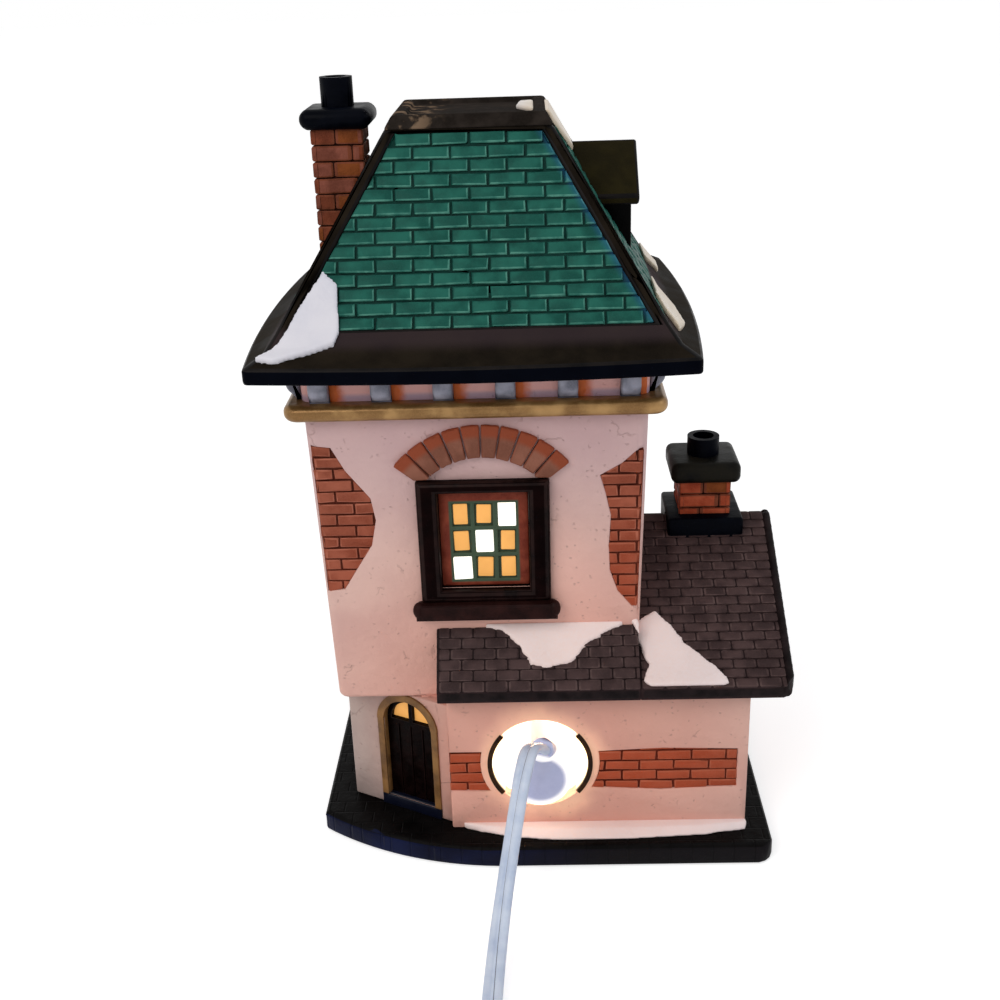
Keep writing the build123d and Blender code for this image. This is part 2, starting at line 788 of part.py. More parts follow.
def course_grooves(wide, low, high):
    """Square rings that cut the mortar joints between the courses of a stack, from its top down."""
    inside = wide - 2 * course_groove_deep
    ring = Rectangle(wide + overrun, wide + overrun) - Rectangle(inside, inside)
    course = chimney_brick_high + chimney_joint
    count = math.ceil((high - low) / course)
    joints = [Pos(0, 0, high - course * place) * extrude(ring, chimney_joint) for place in range(1, count)]
    return Part() + joints


def bevelled_cap(wide, high, bevel):
    cap = Pos(0, 0, high / 2) * Box(wide, wide, high)
    return chamfer(cap.edges(), bevel)


def pot(radius, high, bore_wall):
    shape = Pos(0, 0, high / 2) * Cylinder(radius, high)
    return shape - Pos(0, 0, high) * Cylinder(radius - bore_wall, high)


def annex_chimney_place(z):
    return Pos(annex_chimney_x, annex_chimney_y, z)


def annex_flashing(roof):
    base = annex_ridge_z - 2 * annex_roof_thick
    half = annex_flashing_wide / 2
    skirt = annex_chimney_place(base) * block(-half, half, -half, half, -annex_roof_thick, annex_stack_z - base)
    under = [*annex_roof_line(-annex_ridge_z), *reversed(annex_roof_line(0))]
    return skirt - roof - prism_along_x(under, 0, annex_gable + overrun)


def annex_stack():
    half = annex_stack_wide / 2
    stack = block(-half, half, -half, half, annex_stack_z, annex_stack_top_z)
    return annex_chimney_place(0) * (stack - course_grooves(annex_stack_wide, annex_stack_z, annex_stack_top_z))


def annex_cap():
    """A square cap whose top slopes in to the pot."""
    half = annex_cap_wide / 2
    straight = annex_cap_high - annex_cap_slope
    slab = block(-half, half, -half, half, 0, straight)
    top = frustum(half, straight, annex_pot_radius + annex_cap_slope, annex_cap_high)
    return annex_chimney_place(annex_stack_top_z) * (slab + top)


def snow_on(roof, outline, clear_of):
    """A blanket of snow on a roof inside a plan outline."""
    drift = extrude(outline, deck_z) & (Pos(0, 0, snow_depth) * roof)
    return drift - roof - clear_of


def main_roof_snow(roof, deck):
    """Snow on the rear left hip, on the right skirt and over the right end of the deck."""
    pieces = []
    for shares in (hip_snow_shares, skirt_snow_shares, far_snow_shares):
        outline = [(eave_half * across, eave_half * along) for across, along in shares]
        pieces.append(snow_on(roof, make_face(Polyline(*outline, close=True)), deck))
    crown = [(deck_half * across, deck_half * along) for across, along in crown_snow_shares]
    dormer = dormer_body_solid() + dormer_roof_solid()
    pieces.append(snow_on(roof + deck, make_face(Polyline(*crown, close=True)), dormer))
    return Part() + pieces


def snow_bank():
    """Snow on the base along the foot of the annex wall, lower away from the wall."""
    def section(keep, z):
        return make_face(Polyline(
            *[(annex_gable * across, -annex_rear - base_reach * out * keep, z) for across, out in bank_snow_shares],
            close=True))
    return loft([section(1, base_thick), section(bank_top_share, base_thick + bank_high)], ruled=True)


def annex_snow(tower, slated):
    """Snow on the pent roof and over the crease of the two roofs, on top of their slates, and the bank."""
    depth = annex_half_span - annex_ridge_y - tower_foot_half
    plain = annex_roof(tower, False) + pent_roof(tower, False)
    pieces = [snow_bank()]
    for shares in (drift_snow_shares, tongue_snow_shares):
        outline = [(tower_foot_half * across, -tower_foot_half - depth * out) for across, out in shares]
        pieces.append(snow_on(plain, make_face(Polyline(*outline, close=True)), tower) - slated)
    return Part() + pieces


def socket_body():
    outer = turned([
        (0, socket_rear_y), (socket_radius, socket_rear_y), (socket_radius, socket_front_y), (0, socket_front_y)])
    exit_point, towards = Vector(lead_route[0]), (Vector(lead_route[1]) - Vector(lead_route[0])).normalized()
    sleeve = Plane(exit_point, z_dir=towards) * Pos(0, 0, -sleeve_long / 2) * Cylinder(sleeve_radius, sleeve_long)
    cavity = turned([
        (0, cavity_y), (cavity_radius, cavity_y), (cavity_radius, socket_front_y + overrun),
        (0, socket_front_y + overrun)])
    return outer + sleeve - cavity


def screw_shell():
    inner, outer = shell_inner, shell_inner + shell_thick
    return turned([
        (inner, base_y), (outer, base_y), (outer, base_y + shell_long), (inner, base_y + shell_long)])


def centre_contact():
    return turned([(0, cavity_y), (contact_radius, cavity_y), (contact_radius, base_y), (0, base_y)])


def spring_clips():
    """Two spring leaves on collars, one each side, that hold the socket in the hole."""
    collar = socket_radius + shell_clear
    leaf = hole_radius - clip_clear
    inside_y = clip_reach - annex_rear
    ear_y = -annex_rear - clip_clear
    outline = Polyline(
        (collar, inside_y - clip_collar_long), (collar + clip_thick, inside_y - clip_collar_long),
        (collar + clip_thick, inside_y - clip_thick), (leaf - clip_thick, inside_y - clip_thick),
        (leaf - clip_thick, ear_y - clip_thick), (leaf + clip_ear, ear_y - clip_thick),
        (leaf + clip_ear, ear_y), (leaf, ear_y), (leaf, inside_y), (collar, inside_y), close=True)
    right = Rot(0, -clip_angle / 2, 0) * revolve(make_face(outline), axis=Axis.Y, revolution_arc=clip_angle)
    return lamp_place * (Part() + [right, Rot(0, 180, 0) * right])


def bulb_base():
    cone_y = base_y + button_long
    thread_y = cone_y + cone_long
    return turned([
        (0, base_y), (button_radius, base_y), (button_radius, cone_y), (thread_radius, thread_y),
        (thread_radius, neck_y), (0, neck_y)])


def bulb_outline(inset, foot_y):
    """Half the outline of the lamp's glass: neck, belly and candle tip."""
    neck, belly = neck_radius - inset, belly_radius - inset
    neck_end, belly_y, tip_y = neck_y + neck_long, neck_y + belly_at, neck_y + glass_long - inset
    side = Line((neck, foot_y), (neck, neck_end))
    full = neck + (belly - neck) * swell_share
    swell = ThreePointArc(side @ 1, (full, (neck_end + belly_y) / 2), (belly, belly_y))
    out_share, up_share = taper_shares
    slender = (belly * out_share, belly_y + (tip_y - belly_y) * up_share)
    taper = ThreePointArc(swell @ 1, slender, (tip_radius, tip_y))
    axis = Polyline(taper @ 1, (0, tip_y), (0, foot_y), side @ 0)
    return make_face([side, swell, taper, axis])


def bulb_glass():
    outer = revolve(bulb_outline(0, neck_y), axis=Axis.Y)
    inner = revolve(bulb_outline(glass_wall, neck_y - glass_wall), axis=Axis.Y)
    return lamp_place * (outer - inner)


def bulb_filament():
    """The glass stem, its two lead wires and the filament across them."""
    stem_y = neck_y + stem_long
    stem = turned([(0, neck_y), (stem_radius, neck_y), (stem_radius / 2, stem_y), (0, stem_y)])
    reach = 2 * (lead_spread + 2 * lead_radius)
    stem += Pos(lamp_x, stem_y, lamp_z) * Box(reach, 4 * lead_radius, 4 * lead_radius)
    for side in (-1, 1):
        wire = Rot(-90, 0, 0) * Pos(0, 0, lead_long / 2) * Cylinder(lead_radius, lead_long)
        stem += Pos(lamp_x + side * lead_spread, stem_y, lamp_z) * wire
    filament = Rot(0, 90, 0) * Cylinder(filament_radius, reach)
    return stem + Pos(lamp_x, stem_y + lead_long, lamp_z) * filament


def cord_outline():
    """The flat section of the cord, in six facets."""
    side, flat, thick = cord_wide / 2, cord_wide / 2 * cord_flat_share, cord_thick / 2
    corners = [(side, 0), (flat, thick), (-flat, thick), (-side, 0), (-flat, -thick), (flat, -thick)]
    return make_face(Polyline(*corners, close=True))


def cord_section(place, across, towards):
    """The flat section of the cord, square to its route."""
    return Plane(place, x_dir=across, z_dir=towards) * cord_outline()


def lead_radii(points):
    """The largest arc that each corner of the lead has room for."""
    radii = []
    for before, corner, after in zip(points, points[1:], points[2:]):
        turn = math.radians((corner - before).get_angle(after - corner))
        run = min((corner - before).length, (after - corner).length)
        radii.append(bend_share * run / math.tan(turn / 2))
    return radii


def cord_lead():
    points = [Vector(*place) for place in lead_route]
    radii = lead_radii(points)
    print("lead radii", [round(radius, 1) for radius in radii])
    path = FilletPolyline(*points, radius=radii)
    towards = (points[1] - points[0]).normalized()
    across = towards.cross(Vector(0, 0, 1)).normalized()
    lead = sweep(cord_section(points[0], across, towards), path=path)
    section = cord_outline().area
    print("lead length", round(path.length, 1), "volume share", round(lead.volume / (section * path.length), 4))
    return lead


def coil_centre():
    end = lead_route[-1]
    return Vector(end[0] + coil_outer, end[1] - cord_wide, 0)


def coil_points():
    """Where the spiral crosses its X axis: in on the lower layer, a climb, and out on the upper layer."""
    turns = round((coil_outer - coil_inner) / coil_step)
    low, high = cord_rest_z, cord_rest_z + coil_layer
    reach = [(coil_outer - coil_step * k, low) for k in range(turns)]
    reach.append((coil_inner, high))
    reach += [(coil_inner + coil_step * (k + 1), high) for k in range(1, turns)]
    reach.append((coil_outer + coil_tail_out, high))
    return [Vector(-x if k % 2 == 0 else x, 0, z) for k, (x, z) in enumerate(reach)]


def coil_path():
    points = coil_points()
    edges = [Line(points[0] + Vector(0, cord_wide, 0), points[0])]
    for k, (start, end) in enumerate(zip(points, points[1:])):
        side = -1 if k % 2 == 0 else 1
        middle = (start + end) * 0.5 + Vector(0, side, 0) * ((end - start).length / 2)
        edges.append(ThreePointArc(start, middle, end))
    edges.append(Line(points[-1], points[-1] - Vector(0, coil_tail_long, 0)))
    return Wire(edges)


def coil_least_gap(path):
    """Least distance between turns, on points spread along and across the cord."""
    count = round(path.length / cord_wide)
    rows = []
    for k in range(count + 1):
        place, ahead = path.position_at(k / count), path.tangent_at(k / count)
        across = ahead.cross(Vector(0, 0, 1)).normalized() * ((cord_wide - cord_thick) / 2)
        rows.append([place - across, place, place + across])
    apart = round(math.pi * coil_inner / cord_wide)
    least = min(
        (a - b).length
        for k, row in enumerate(rows) for other in rows[k + apart:] for a in row for b in other)
    return least - cord_thick


def cord_coil():
    path = coil_path()
    start = path.position_at(0)
    coil = sweep(cord_section(start, Vector(1, 0, 0), Vector(0, -1, 0)), path=path)
    section = cord_outline().area
    print("coil length", round(path.length, 1), "volume share", round(coil.volume / (section * path.length), 4))
    print("coil least gap", round(coil_least_gap(path), 2))
    return Pos(*coil_centre()) * coil


def coil_tie():
    """A flat band round all the turns at the far side of the coil."""
    near = -coil_inner - coil_step / 2 + cord_wide / 2 + tie_gap
    far = -coil_outer + coil_step / 2 - cord_wide / 2 - tie_gap
    low = cord_rest_z - cord_thick / 2 - tie_gap
    high = cord_rest_z + coil_layer + cord_thick / 2 + tie_gap
    half = tie_wide / 2
    outer = block(-half, half, far - tie_thick, near + tie_thick, low - tie_thick, high + tie_thick)
    return Pos(*coil_centre()) * (outer - block(-tie_wide, tie_wide, far, near, low, high))


def plug_place():
    """Where the cord meets the plug, with X pointing out of the plug's nose."""
    end = coil_points()[-1] - Vector(0, coil_tail_long, 0) + coil_centre()
    return Plane(end, x_dir=(0, -1, 0), z_dir=(0, 0, 1))


def plug_body():
    high = 2 * (cord_rest_z + coil_layer)
    rear, front = plug_nose_wide / 2, plug_wide / 2
    shoulder = plug_long * plug_shoulder_share
    outline = Polyline((0, -rear), (shoulder, -front), (plug_long, -front), (plug_long, front), (shoulder, front),
                       (0, rear), close=True)
    body = extrude(make_face(outline), high / 2, both=True)
    body = fillet(body.edges().filter_by(Axis.Z), plug_round)
    return plug_place() * (body - plug_blade_pair())


def plug_blade_pair():
    pair = []
    for side in (-1, 1):
        blade = block(plug_long - blade_sunk, plug_long + blade_long, -blade_thick / 2, blade_thick / 2,
                      -blade_wide / 2, blade_wide / 2)
        pair.append(Pos(0, side * blade_spacing / 2, 0) * blade)
    return pair


def plug_blades():
    return plug_place() * (Part() + plug_blade_pair())


def save_house():
    tower = tower_solid()
    whole_roof = roof_solid()
    pocketed = panel_pockets(whole_roof)
    annex_top, pent = annex_roof(tower, True), pent_roof(tower, True)
    save("base_slab", base_slab())
    save("tower_ground_walls", tower_ground_walls())
    save("annex_rear_wall", annex_rear_wall(tower))
    save("annex_gable_walls", annex_gable_walls(tower))
    save("annex_brick_band", annex_brick_band())
    save("annex_roof", annex_top)
    save("pent_roof", pent)
    save("upper_storey", upper_storey(tower))
    save("brick_patches", brick_patches(tower))
    save("cornice_moulding", cornice_moulding(tower))
    save("cornice_brackets", cornice_brackets(tower))
    save("main_roof", pocketed - roof_hollow())
    save("roof_deck", roof_deck())
    save_slates_and_dormer(pocketed)
    save_chimneys(pocketed, annex_top)
    save("main_roof_snow", main_roof_snow(whole_roof, roof_deck()))
    save("annex_snow", annex_snow(tower, annex_top + pent))


def save_slates_and_dormer(pocketed):
    body, gable = dormer_body_solid(), dormer_roof_solid()
    slates = slate_panel()
    save("slates_rear", slates)
    save("slates_front", Rot(0, 0, 180) * slates)
    save("slates_left", Rot(0, 0, -90) * slates - chimney_column())
    save("slates_right", Rot(0, 0, 90) * slates - body - gable)
    save("dormer_body", body - pocketed - dormer_pocket())
    save("dormer_roof", gable - pocketed)
    save("dormer_window", dormer_window())


def save_chimneys(pocketed, annex_top):
    cap_top = chimney_top_z + chimney_cap_high
    grooves = Pos(-chimney_x, 0, 0) * course_grooves(chimney_wide, break_z, chimney_top_z)
    save("main_chimney_stack", chimney_column() - pocketed - grooves)
    save("main_chimney_cap", Pos(-chimney_x, 0, chimney_top_z)
         * bevelled_cap(chimney_cap_wide, chimney_cap_high, chimney_cap_bevel))
    save("main_chimney_pot", Pos(-chimney_x, 0, cap_top) * pot(chimney_pot_radius, chimney_pot_high, chimney_pot_wall))
    annex_top_z = annex_stack_top_z + annex_cap_high
    save("annex_chimney_flashing", annex_flashing(annex_top))
    save("annex_chimney_stack", annex_stack())
    save("annex_chimney_cap", annex_cap())
    save("annex_chimney_pot", annex_chimney_place(annex_top_z)
         * pot(annex_pot_radius, annex_pot_high, chimney_pot_wall))


def save_windows_and_doors():
    windows = {
        "window_frame": window_frame(), "window_sill": window_sill(), "window_sash": window_sash(),
        "window_film": window_film(), "window_arch": window_arch(),
    }
    for name, shape in windows.items():
        save(f"rear_{name}", shape)
        save(f"front_{name}", Rot(0, 0, 180) * shape)
    for side, plane in (("rear", door_plane()), ("front", front_door_plane())):
        save(f"{side}_door_surround", door_surround(plane))
        save(f"{side}_door_leaf", door_leaf(plane))
        save(f"{side}_door_film", door_film(plane))


def save_lamp():
    save("socket_body", socket_body())
    save("socket_screw_shell", screw_shell())
    save("socket_centre_contact", centre_contact())
    save("spring_clips", spring_clips())
    save("bulb_base", bulb_base())
    save("bulb_glass", bulb_glass())
    save("bulb_filament", bulb_filament())
    save("cord_lead", cord_lead())
    save("cord_coil", cord_coil())
    save("coil_tie", coil_tie())
    save("plug_body", plug_body())
    save("plug_blades", plug_blades())


os.makedirs("parts", exist_ok=True)
save_house()
save_windows_and_doors()
save_lamp()
print("shift", round(frame_shift, 3), "lamp axis x", round(lamp_x + frame_shift, 3), "z", lamp_z)
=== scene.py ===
# %% [markdown]
# # A lighted ceramic village house
# The house is one glazed casting with a lamp clipped into a round hole in its rear wall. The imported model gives
# every piece its place and size in metres. This file softens the edges of the cast pieces, glazes them, lays the
# lamp cord and lights the scene.

# %% Load the frame
import json
import math
import random
from functools import reduce

import bmesh
import bpy
from mathutils import Matrix, Vector

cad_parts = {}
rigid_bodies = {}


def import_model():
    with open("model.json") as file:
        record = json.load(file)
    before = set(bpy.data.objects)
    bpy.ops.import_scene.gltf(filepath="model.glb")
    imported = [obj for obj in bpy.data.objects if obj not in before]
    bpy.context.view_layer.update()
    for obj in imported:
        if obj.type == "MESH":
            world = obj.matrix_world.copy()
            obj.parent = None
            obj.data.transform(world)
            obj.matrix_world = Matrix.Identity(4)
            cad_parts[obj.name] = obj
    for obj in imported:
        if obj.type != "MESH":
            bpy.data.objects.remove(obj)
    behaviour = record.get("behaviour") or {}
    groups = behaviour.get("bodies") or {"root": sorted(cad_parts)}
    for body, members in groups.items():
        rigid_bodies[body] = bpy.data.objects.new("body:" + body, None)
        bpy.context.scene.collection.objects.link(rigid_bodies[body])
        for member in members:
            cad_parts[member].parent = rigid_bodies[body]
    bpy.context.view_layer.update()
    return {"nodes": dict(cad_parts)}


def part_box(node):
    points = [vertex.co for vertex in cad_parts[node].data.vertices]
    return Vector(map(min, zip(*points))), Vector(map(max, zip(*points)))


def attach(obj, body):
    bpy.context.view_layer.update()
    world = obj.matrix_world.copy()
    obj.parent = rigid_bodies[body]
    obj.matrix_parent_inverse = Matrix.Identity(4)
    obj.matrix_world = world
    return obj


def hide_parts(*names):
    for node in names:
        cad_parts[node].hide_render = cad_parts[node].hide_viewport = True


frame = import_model()
MM = 0.001
TOWER_X = -12.45 * MM

# %% [markdown]
# ## Camera
# The photograph looks down at the lamp side from a little over arm's length, slightly rolled. The camera could be
# aimed with a track constraint, but its three angles were measured from the photograph, so they are set directly.

# %% Camera
CAMERA_AT = Vector((3.15, -362.7, 243.4)) * MM
PITCH, YAW, ROLL = 0.4006, -0.0315, -0.0343
ahead = Vector((math.sin(YAW) * math.cos(PITCH), math.cos(YAW) * math.cos(PITCH), -math.sin(PITCH)))
level_right = Vector((math.cos(YAW), -math.sin(YAW), 0))
level_up = level_right.cross(ahead)
camera_right = level_right * math.cos(ROLL) + level_up * math.sin(ROLL)
camera_up = level_up * math.cos(ROLL) - level_right * math.sin(ROLL)
bpy.ops.object.camera_add(location=CAMERA_AT)
camera = bpy.context.active_object
camera.name = "photo_camera"
camera.data.lens = 46.63
camera.data.sensor_width = 36.0
camera.data.clip_start = 0.01
camera.matrix_world = Matrix.Translation(CAMERA_AT) @ Matrix((camera_right, camera_up, -ahead)).transposed().to_4x4()
bpy.context.scene.camera = camera
print("camera", [round(v, 3) for v in CAMERA_AT])

# %% [markdown]
# ## Small tools for finishes
# Every finish is a node tree. These helpers add a node, feed its inputs and give back what it puts out, so that a
# finish reads from the pattern to the shader. Paints are written as they look on a screen, from 0 to 255, and the
# colours of light from 0 to 1.


# %% Small tools for finishes
def screen(red, green, blue):
    """A screen colour as the linear colour that Blender works in."""
    parts = []
    for value in (red, green, blue):
        share = value / 255
        parts.append(share / 12.92 if share <= 0.04045 else ((share + 0.055) / 1.055) ** 2.4)
    return (*parts, 1.0)


def set_inputs(node, inputs):
    """Sets a node's inputs to values, or links them to what other nodes put out."""
    for name, value in inputs.items():
        if isinstance(value, bpy.types.NodeSocket):
            node.id_data.links.new(value, node.inputs[name])
        else:
            node.inputs[name].default_value = value


def add_node(tree, kind, inputs, **settings):
    """A node with its settings made and its inputs set or linked."""
    made = tree.nodes.new(kind)
    for name, value in settings.items():
        setattr(made, name, value)
    set_inputs(made, inputs)
    return made


def shader_of(finish):
    """The main shader of a finish."""
    return finish.node_tree.nodes["Principled BSDF"]


def object_place(finish):
    """The place on the piece, for a finish to draw its patterns by."""
    return finish.node_tree.nodes["Texture Coordinate"].outputs["Object"]


def start_finish(name):
    """A new material with its shader and the place on the piece."""
    made = bpy.data.materials.new(name)
    made.use_nodes = True
    made.node_tree.nodes.new("ShaderNodeTexCoord")
    return made, shader_of(made), object_place(made)


def mottle(place, scale, detail=3.0):
    """Soft cloudy noise, from 0 to 1."""
    inputs = {"Vector": place, "Scale": scale, "Detail": detail}
    return add_node(place.id_data, "ShaderNodeTexNoise", inputs).outputs["Fac"]


def steps(value, low, high):
    """The value stretched so that low becomes 0 and high becomes 1."""
    inputs = {"Value": value, "From Min": low, "From Max": high}
    return add_node(value.id_data, "ShaderNodeMapRange", inputs, interpolation_type="SMOOTHSTEP").outputs["Result"]


def sums(operation, first, second, third=0.0):
    """Arithmetic on two values or three, where the first or the second comes from a node."""
    tree = next(value.id_data for value in (first, second) if isinstance(value, bpy.types.NodeSocket))
    return add_node(tree, "ShaderNodeMath", {0: first, 1: second, 2: third}, operation=operation).outputs[0]


def product(first, second):
    """Two values multiplied."""
    return sums("MULTIPLY", first, second)


def blend_colours(share, first, second, strength=1.0):
    """The first colour where the share is 0 and the second where it is 1, or less of it at a lower strength."""
    if strength < 1.0:
        share = product(share, strength)
    inputs = {"Fac": share, "Color1": first, "Color2": second}
    return add_node(share.id_data, "ShaderNodeMixRGB", inputs).outputs["Color"]


def relief(height, depth, strength=1.0):
    """A bumped normal from a height pattern; depth is in metres."""
    inputs = {"Height": height, "Distance": depth, "Strength": strength}
    return add_node(height.id_data, "ShaderNodeBump", inputs).outputs["Normal"]


def axes(vector):
    """The coordinates of a vector, by name."""
    return add_node(vector.id_data, "ShaderNodeSeparateXYZ", {"Vector": vector}).outputs


def vector_sums(operation, first, inputs):
    """Arithmetic on a vector."""
    return add_node(first.id_data, "ShaderNodeVectorMath", {0: first, **inputs}, operation=operation).outputs


def distance(place, point):
    """How far the place lies from a point."""
    return vector_sums("DISTANCE", place, {1: point})["Value"]


LAMP_AT = Vector((2.2, -22.0, 28.65)) * MM


def near_lamp(place, near, far):
    """A share that is 1 close to the lamp and fades to 0 with the distance from it."""
    return steps(distance(place, LAMP_AT), far, near)


def glaze(name, dark, light, rough, cloud, grain=2400, depth=50, shine=0.1, lamp_glow=None):
    """A painted and glazed ceramic: two close colours in clouds, fine grain and a satin shine.

    Higher numbers make smaller clouds and grain; depth is the grain's, in thousandths of a millimetre. A lamp glow
    colour, if given, is painted light: it blends in near the lamp, where its light comes through the thin ceramic.
    """
    made, shader, place = start_finish(name)
    dark, light = screen(*dark), screen(*light)
    clouds = steps(mottle(place, cloud, 5.0), 0.35, 0.68)
    fine = mottle(place, grain, 2.0)
    colour = blend_colours(clouds, dark, light)
    if lamp_glow:
        colour = blend_colours(near_lamp(place, 0.04, 0.10), colour, screen(*lamp_glow), 0.7)
    bumps = sums("ADD", fine, product(clouds, 2.0))
    set_inputs(shader, {
        "Base Color": blend_colours(steps(fine, 0.25, 0.75), colour, light, 0.22),
        "Roughness": sums("MULTIPLY_ADD", clouds, 0.16, rough - 0.08),
        "Specular IOR Level": shine,
        "Normal": relief(bumps, depth * 1e-6),
    })
    return made


def blend_finish(finish, share, colour, strength=1.0):
    """Blends the base colour of a finish into another one where the share is 1."""
    base = shader_of(finish).inputs["Base Color"].links[0].from_socket
    set_inputs(shader_of(finish), {"Base Color": blend_colours(share, base, screen(*colour), strength)})


def object_axis(finish, axis):
    """One coordinate of the place on the piece."""
    return axes(object_place(finish))[axis]


def away_in_wall(finish, middle):
    """Distance of the place on the piece from a point, measured across the wall's face, without Y."""
    flat = vector_sums("MULTIPLY", object_place(finish), {1: (1, 0, 1)})[0]
    return distance(flat, (middle[0], 0, middle[2]))


print("helpers ready")

# %% [markdown]
# ## Soft copies of the cast pieces
# A casting has no sharp edge: the slip and the glaze round everything a little. Modelling each piece again would
# lose the fit of the imported model, so a copy of the node is merged, its outer edges are bevelled, and the copy
# stands in for the node. The bevel can carry a finish of its own, as a dry brush leaves on raised edges; on the
# slates and the gold moulding that finish is a painted highlight.


# %% Soft copies of the cast pieces
SHARP, SMOOTH, FLAT = math.radians(25), math.radians(40), math.radians(0.6)


def pick_only(thing):
    """Selects one object alone and makes it the active one."""
    bpy.ops.object.select_all(action="DESELECT")
    thing.select_set(True)
    bpy.context.view_layer.objects.active = thing


def node_copy(node, finishes):
    """A merged copy of a node, open in edit mode with all of it selected."""
    pick_only(frame["nodes"][node])
    bpy.ops.object.duplicate()
    piece = bpy.context.active_object
    bpy.ops.object.parent_clear(type="CLEAR_KEEP_TRANSFORM")
    piece.name = piece.data.name = node + "_cast"
    piece.data.materials.clear()
    for finish in finishes:
        piece.data.materials.append(finish)
    bpy.ops.object.mode_set(mode="EDIT")
    bpy.ops.mesh.select_mode(type="EDGE")
    bpy.ops.mesh.select_all(action="SELECT")
    bpy.ops.mesh.remove_doubles(threshold=0.002 * MM)
    return piece


def close_smooth():
    """Leaves edit mode and shades the active piece smooth between its sharp edges."""
    bpy.ops.object.mode_set(mode="OBJECT")
    bpy.ops.object.shade_smooth_by_angle(angle=SMOOTH)


def settle(piece, node, body="house"):
    """Smooths a finished copy and lets it ride in its node's place."""
    close_smooth()
    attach(piece, body)
    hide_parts(node)
    return piece


def corner_cuts(corner, right, near, radius):
    """Three upright cuts, as points and directions, that turn a corner of a piece into a rough round."""
    centre = Vector((corner[0] - right * radius, corner[1] - near * radius, 0))
    planes = []
    for degrees in (22.5, 45, 67.5):
        turn = math.radians(degrees)
        out = Vector((right * math.cos(turn), near * math.sin(turn), 0))
        planes.append((centre + out * radius, out))
    return planes


def cut_away(cuts):
    """Cuts what lies beyond each plane off the piece that is open in edit mode, and closes the cut."""
    for point, out in cuts:
        bpy.ops.mesh.select_all(action="SELECT")
        bpy.ops.mesh.bisect(plane_co=point, plane_no=out, use_fill=True, clear_outer=True)


def soft_copy(node, finishes, soft, rounds=2, edge_finish=-1, jitter=0.0, seed=1, body="house", flat=True,
              cuts=()):
    """A copy of a node with its outer edges rounded by some mm, riding on its body in the node's place."""
    soft, jitter = soft * MM, jitter * MM
    piece = node_copy(node, finishes)
    if flat:
        bpy.ops.mesh.dissolve_limited(angle_limit=FLAT)
    cut_away(cuts)
    if jitter:
        bpy.ops.transform.vertex_random(offset=jitter, seed=seed)
    mesh = bmesh.from_edit_mesh(piece.data)
    for face in mesh.faces:
        face.material_index = 0
    for edge in mesh.edges:
        sharp = edge.is_convex and edge.calc_face_angle(0) > SHARP and edge.calc_length() > 2.2 * soft
        edge.select_set(sharp)
    bmesh.update_edit_mesh(piece.data)
    bpy.ops.mesh.bevel(offset=soft, segments=rounds, affect="EDGES", clamp_overlap=False, material=edge_finish)
    return settle(piece, node, body)


def melt(piece, fine, rounds, swell):
    """Remeshes an open copy into small even faces and smooths it, as thick glaze flows over a form."""
    bpy.ops.object.mode_set(mode="OBJECT")
    even = piece.modifiers.new("even_faces", "REMESH")
    even.mode, even.voxel_size = "VOXEL", fine
    calm = piece.modifiers.new("calm", "SMOOTH")
    calm.factor, calm.iterations = 0.5, rounds
    puff = piece.modifiers.new("puff", "DISPLACE")
    puff.strength, puff.mid_level = swell, 0.0
    for modifier in (even, calm, puff):
        bpy.ops.object.modifier_apply(modifier=modifier.name)


def block_pattern(name, size, soft, finishes, edge_finish=-1, rounds=1):
    """One softened block round the origin, as a mesh to copy."""
    bpy.ops.object.select_all(action="DESELECT")
    bpy.ops.mesh.primitive_cube_add(size=1)
    block = bpy.context.active_object
    for finish in finishes:
        block.data.materials.append(finish)
    bpy.ops.object.mode_set(mode="EDIT")
    bpy.ops.mesh.select_all(action="SELECT")
    bpy.ops.transform.resize(value=size)
    bpy.ops.mesh.bevel(offset=soft, segments=rounds, affect="EDGES", material=edge_finish)
    bpy.ops.object.mode_set(mode="OBJECT")
    pattern = block.data
    pattern.name = name
    bpy.data.objects.remove(block)
    return pattern


def lay_copies(name, pattern, places, shades=()):
    """Copies of a pattern, each with its own mesh, set in their places and joined into one piece."""
    bpy.ops.object.select_all(action="DESELECT")
    chance = random.Random(len(places))
    for place in places:
        copy = bpy.data.objects.new(name, pattern.copy())
        copy.data.transform(place)
        if shades:
            copy.data.materials[0] = chance.choice(shades)
        bpy.context.collection.objects.link(copy)
        copy.select_set(True)
        bpy.context.view_layer.objects.active = copy
    bpy.ops.object.join()
    piece = bpy.context.active_object
    piece.name = piece.data.name = name
    bpy.data.meshes.remove(pattern)
    close_smooth()
    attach(piece, "house")
    return piece


def face_frame(origin, along, up):
    """A place on a slope or wall: x runs along it, y up it and z out of it; origin in mm from the tower's axis."""
    along, up = Vector(along).normalized(), Vector(up).normalized()
    turn = Matrix((along, up, along.cross(up))).transposed().to_4x4()
    return Matrix.Translation(Vector(origin) * MM + Vector((TOWER_X, 0, 0))) @ turn


def repaint(piece, finish, test):
    """Gives another of the piece's finishes to the faces that pass a test of middle and direction."""
    count = 0
    for face in piece.data.polygons:
        if test(face.center, face.normal):
            face.material_index = finish
            count += 1
    return count


def keep_node(node, finish):
    """A node whose shape is right as it is gets its finish."""
    piece = frame["nodes"][node]
    piece.data.materials.clear()
    piece.data.materials.append(finish)


print("tools for soft copies ready")
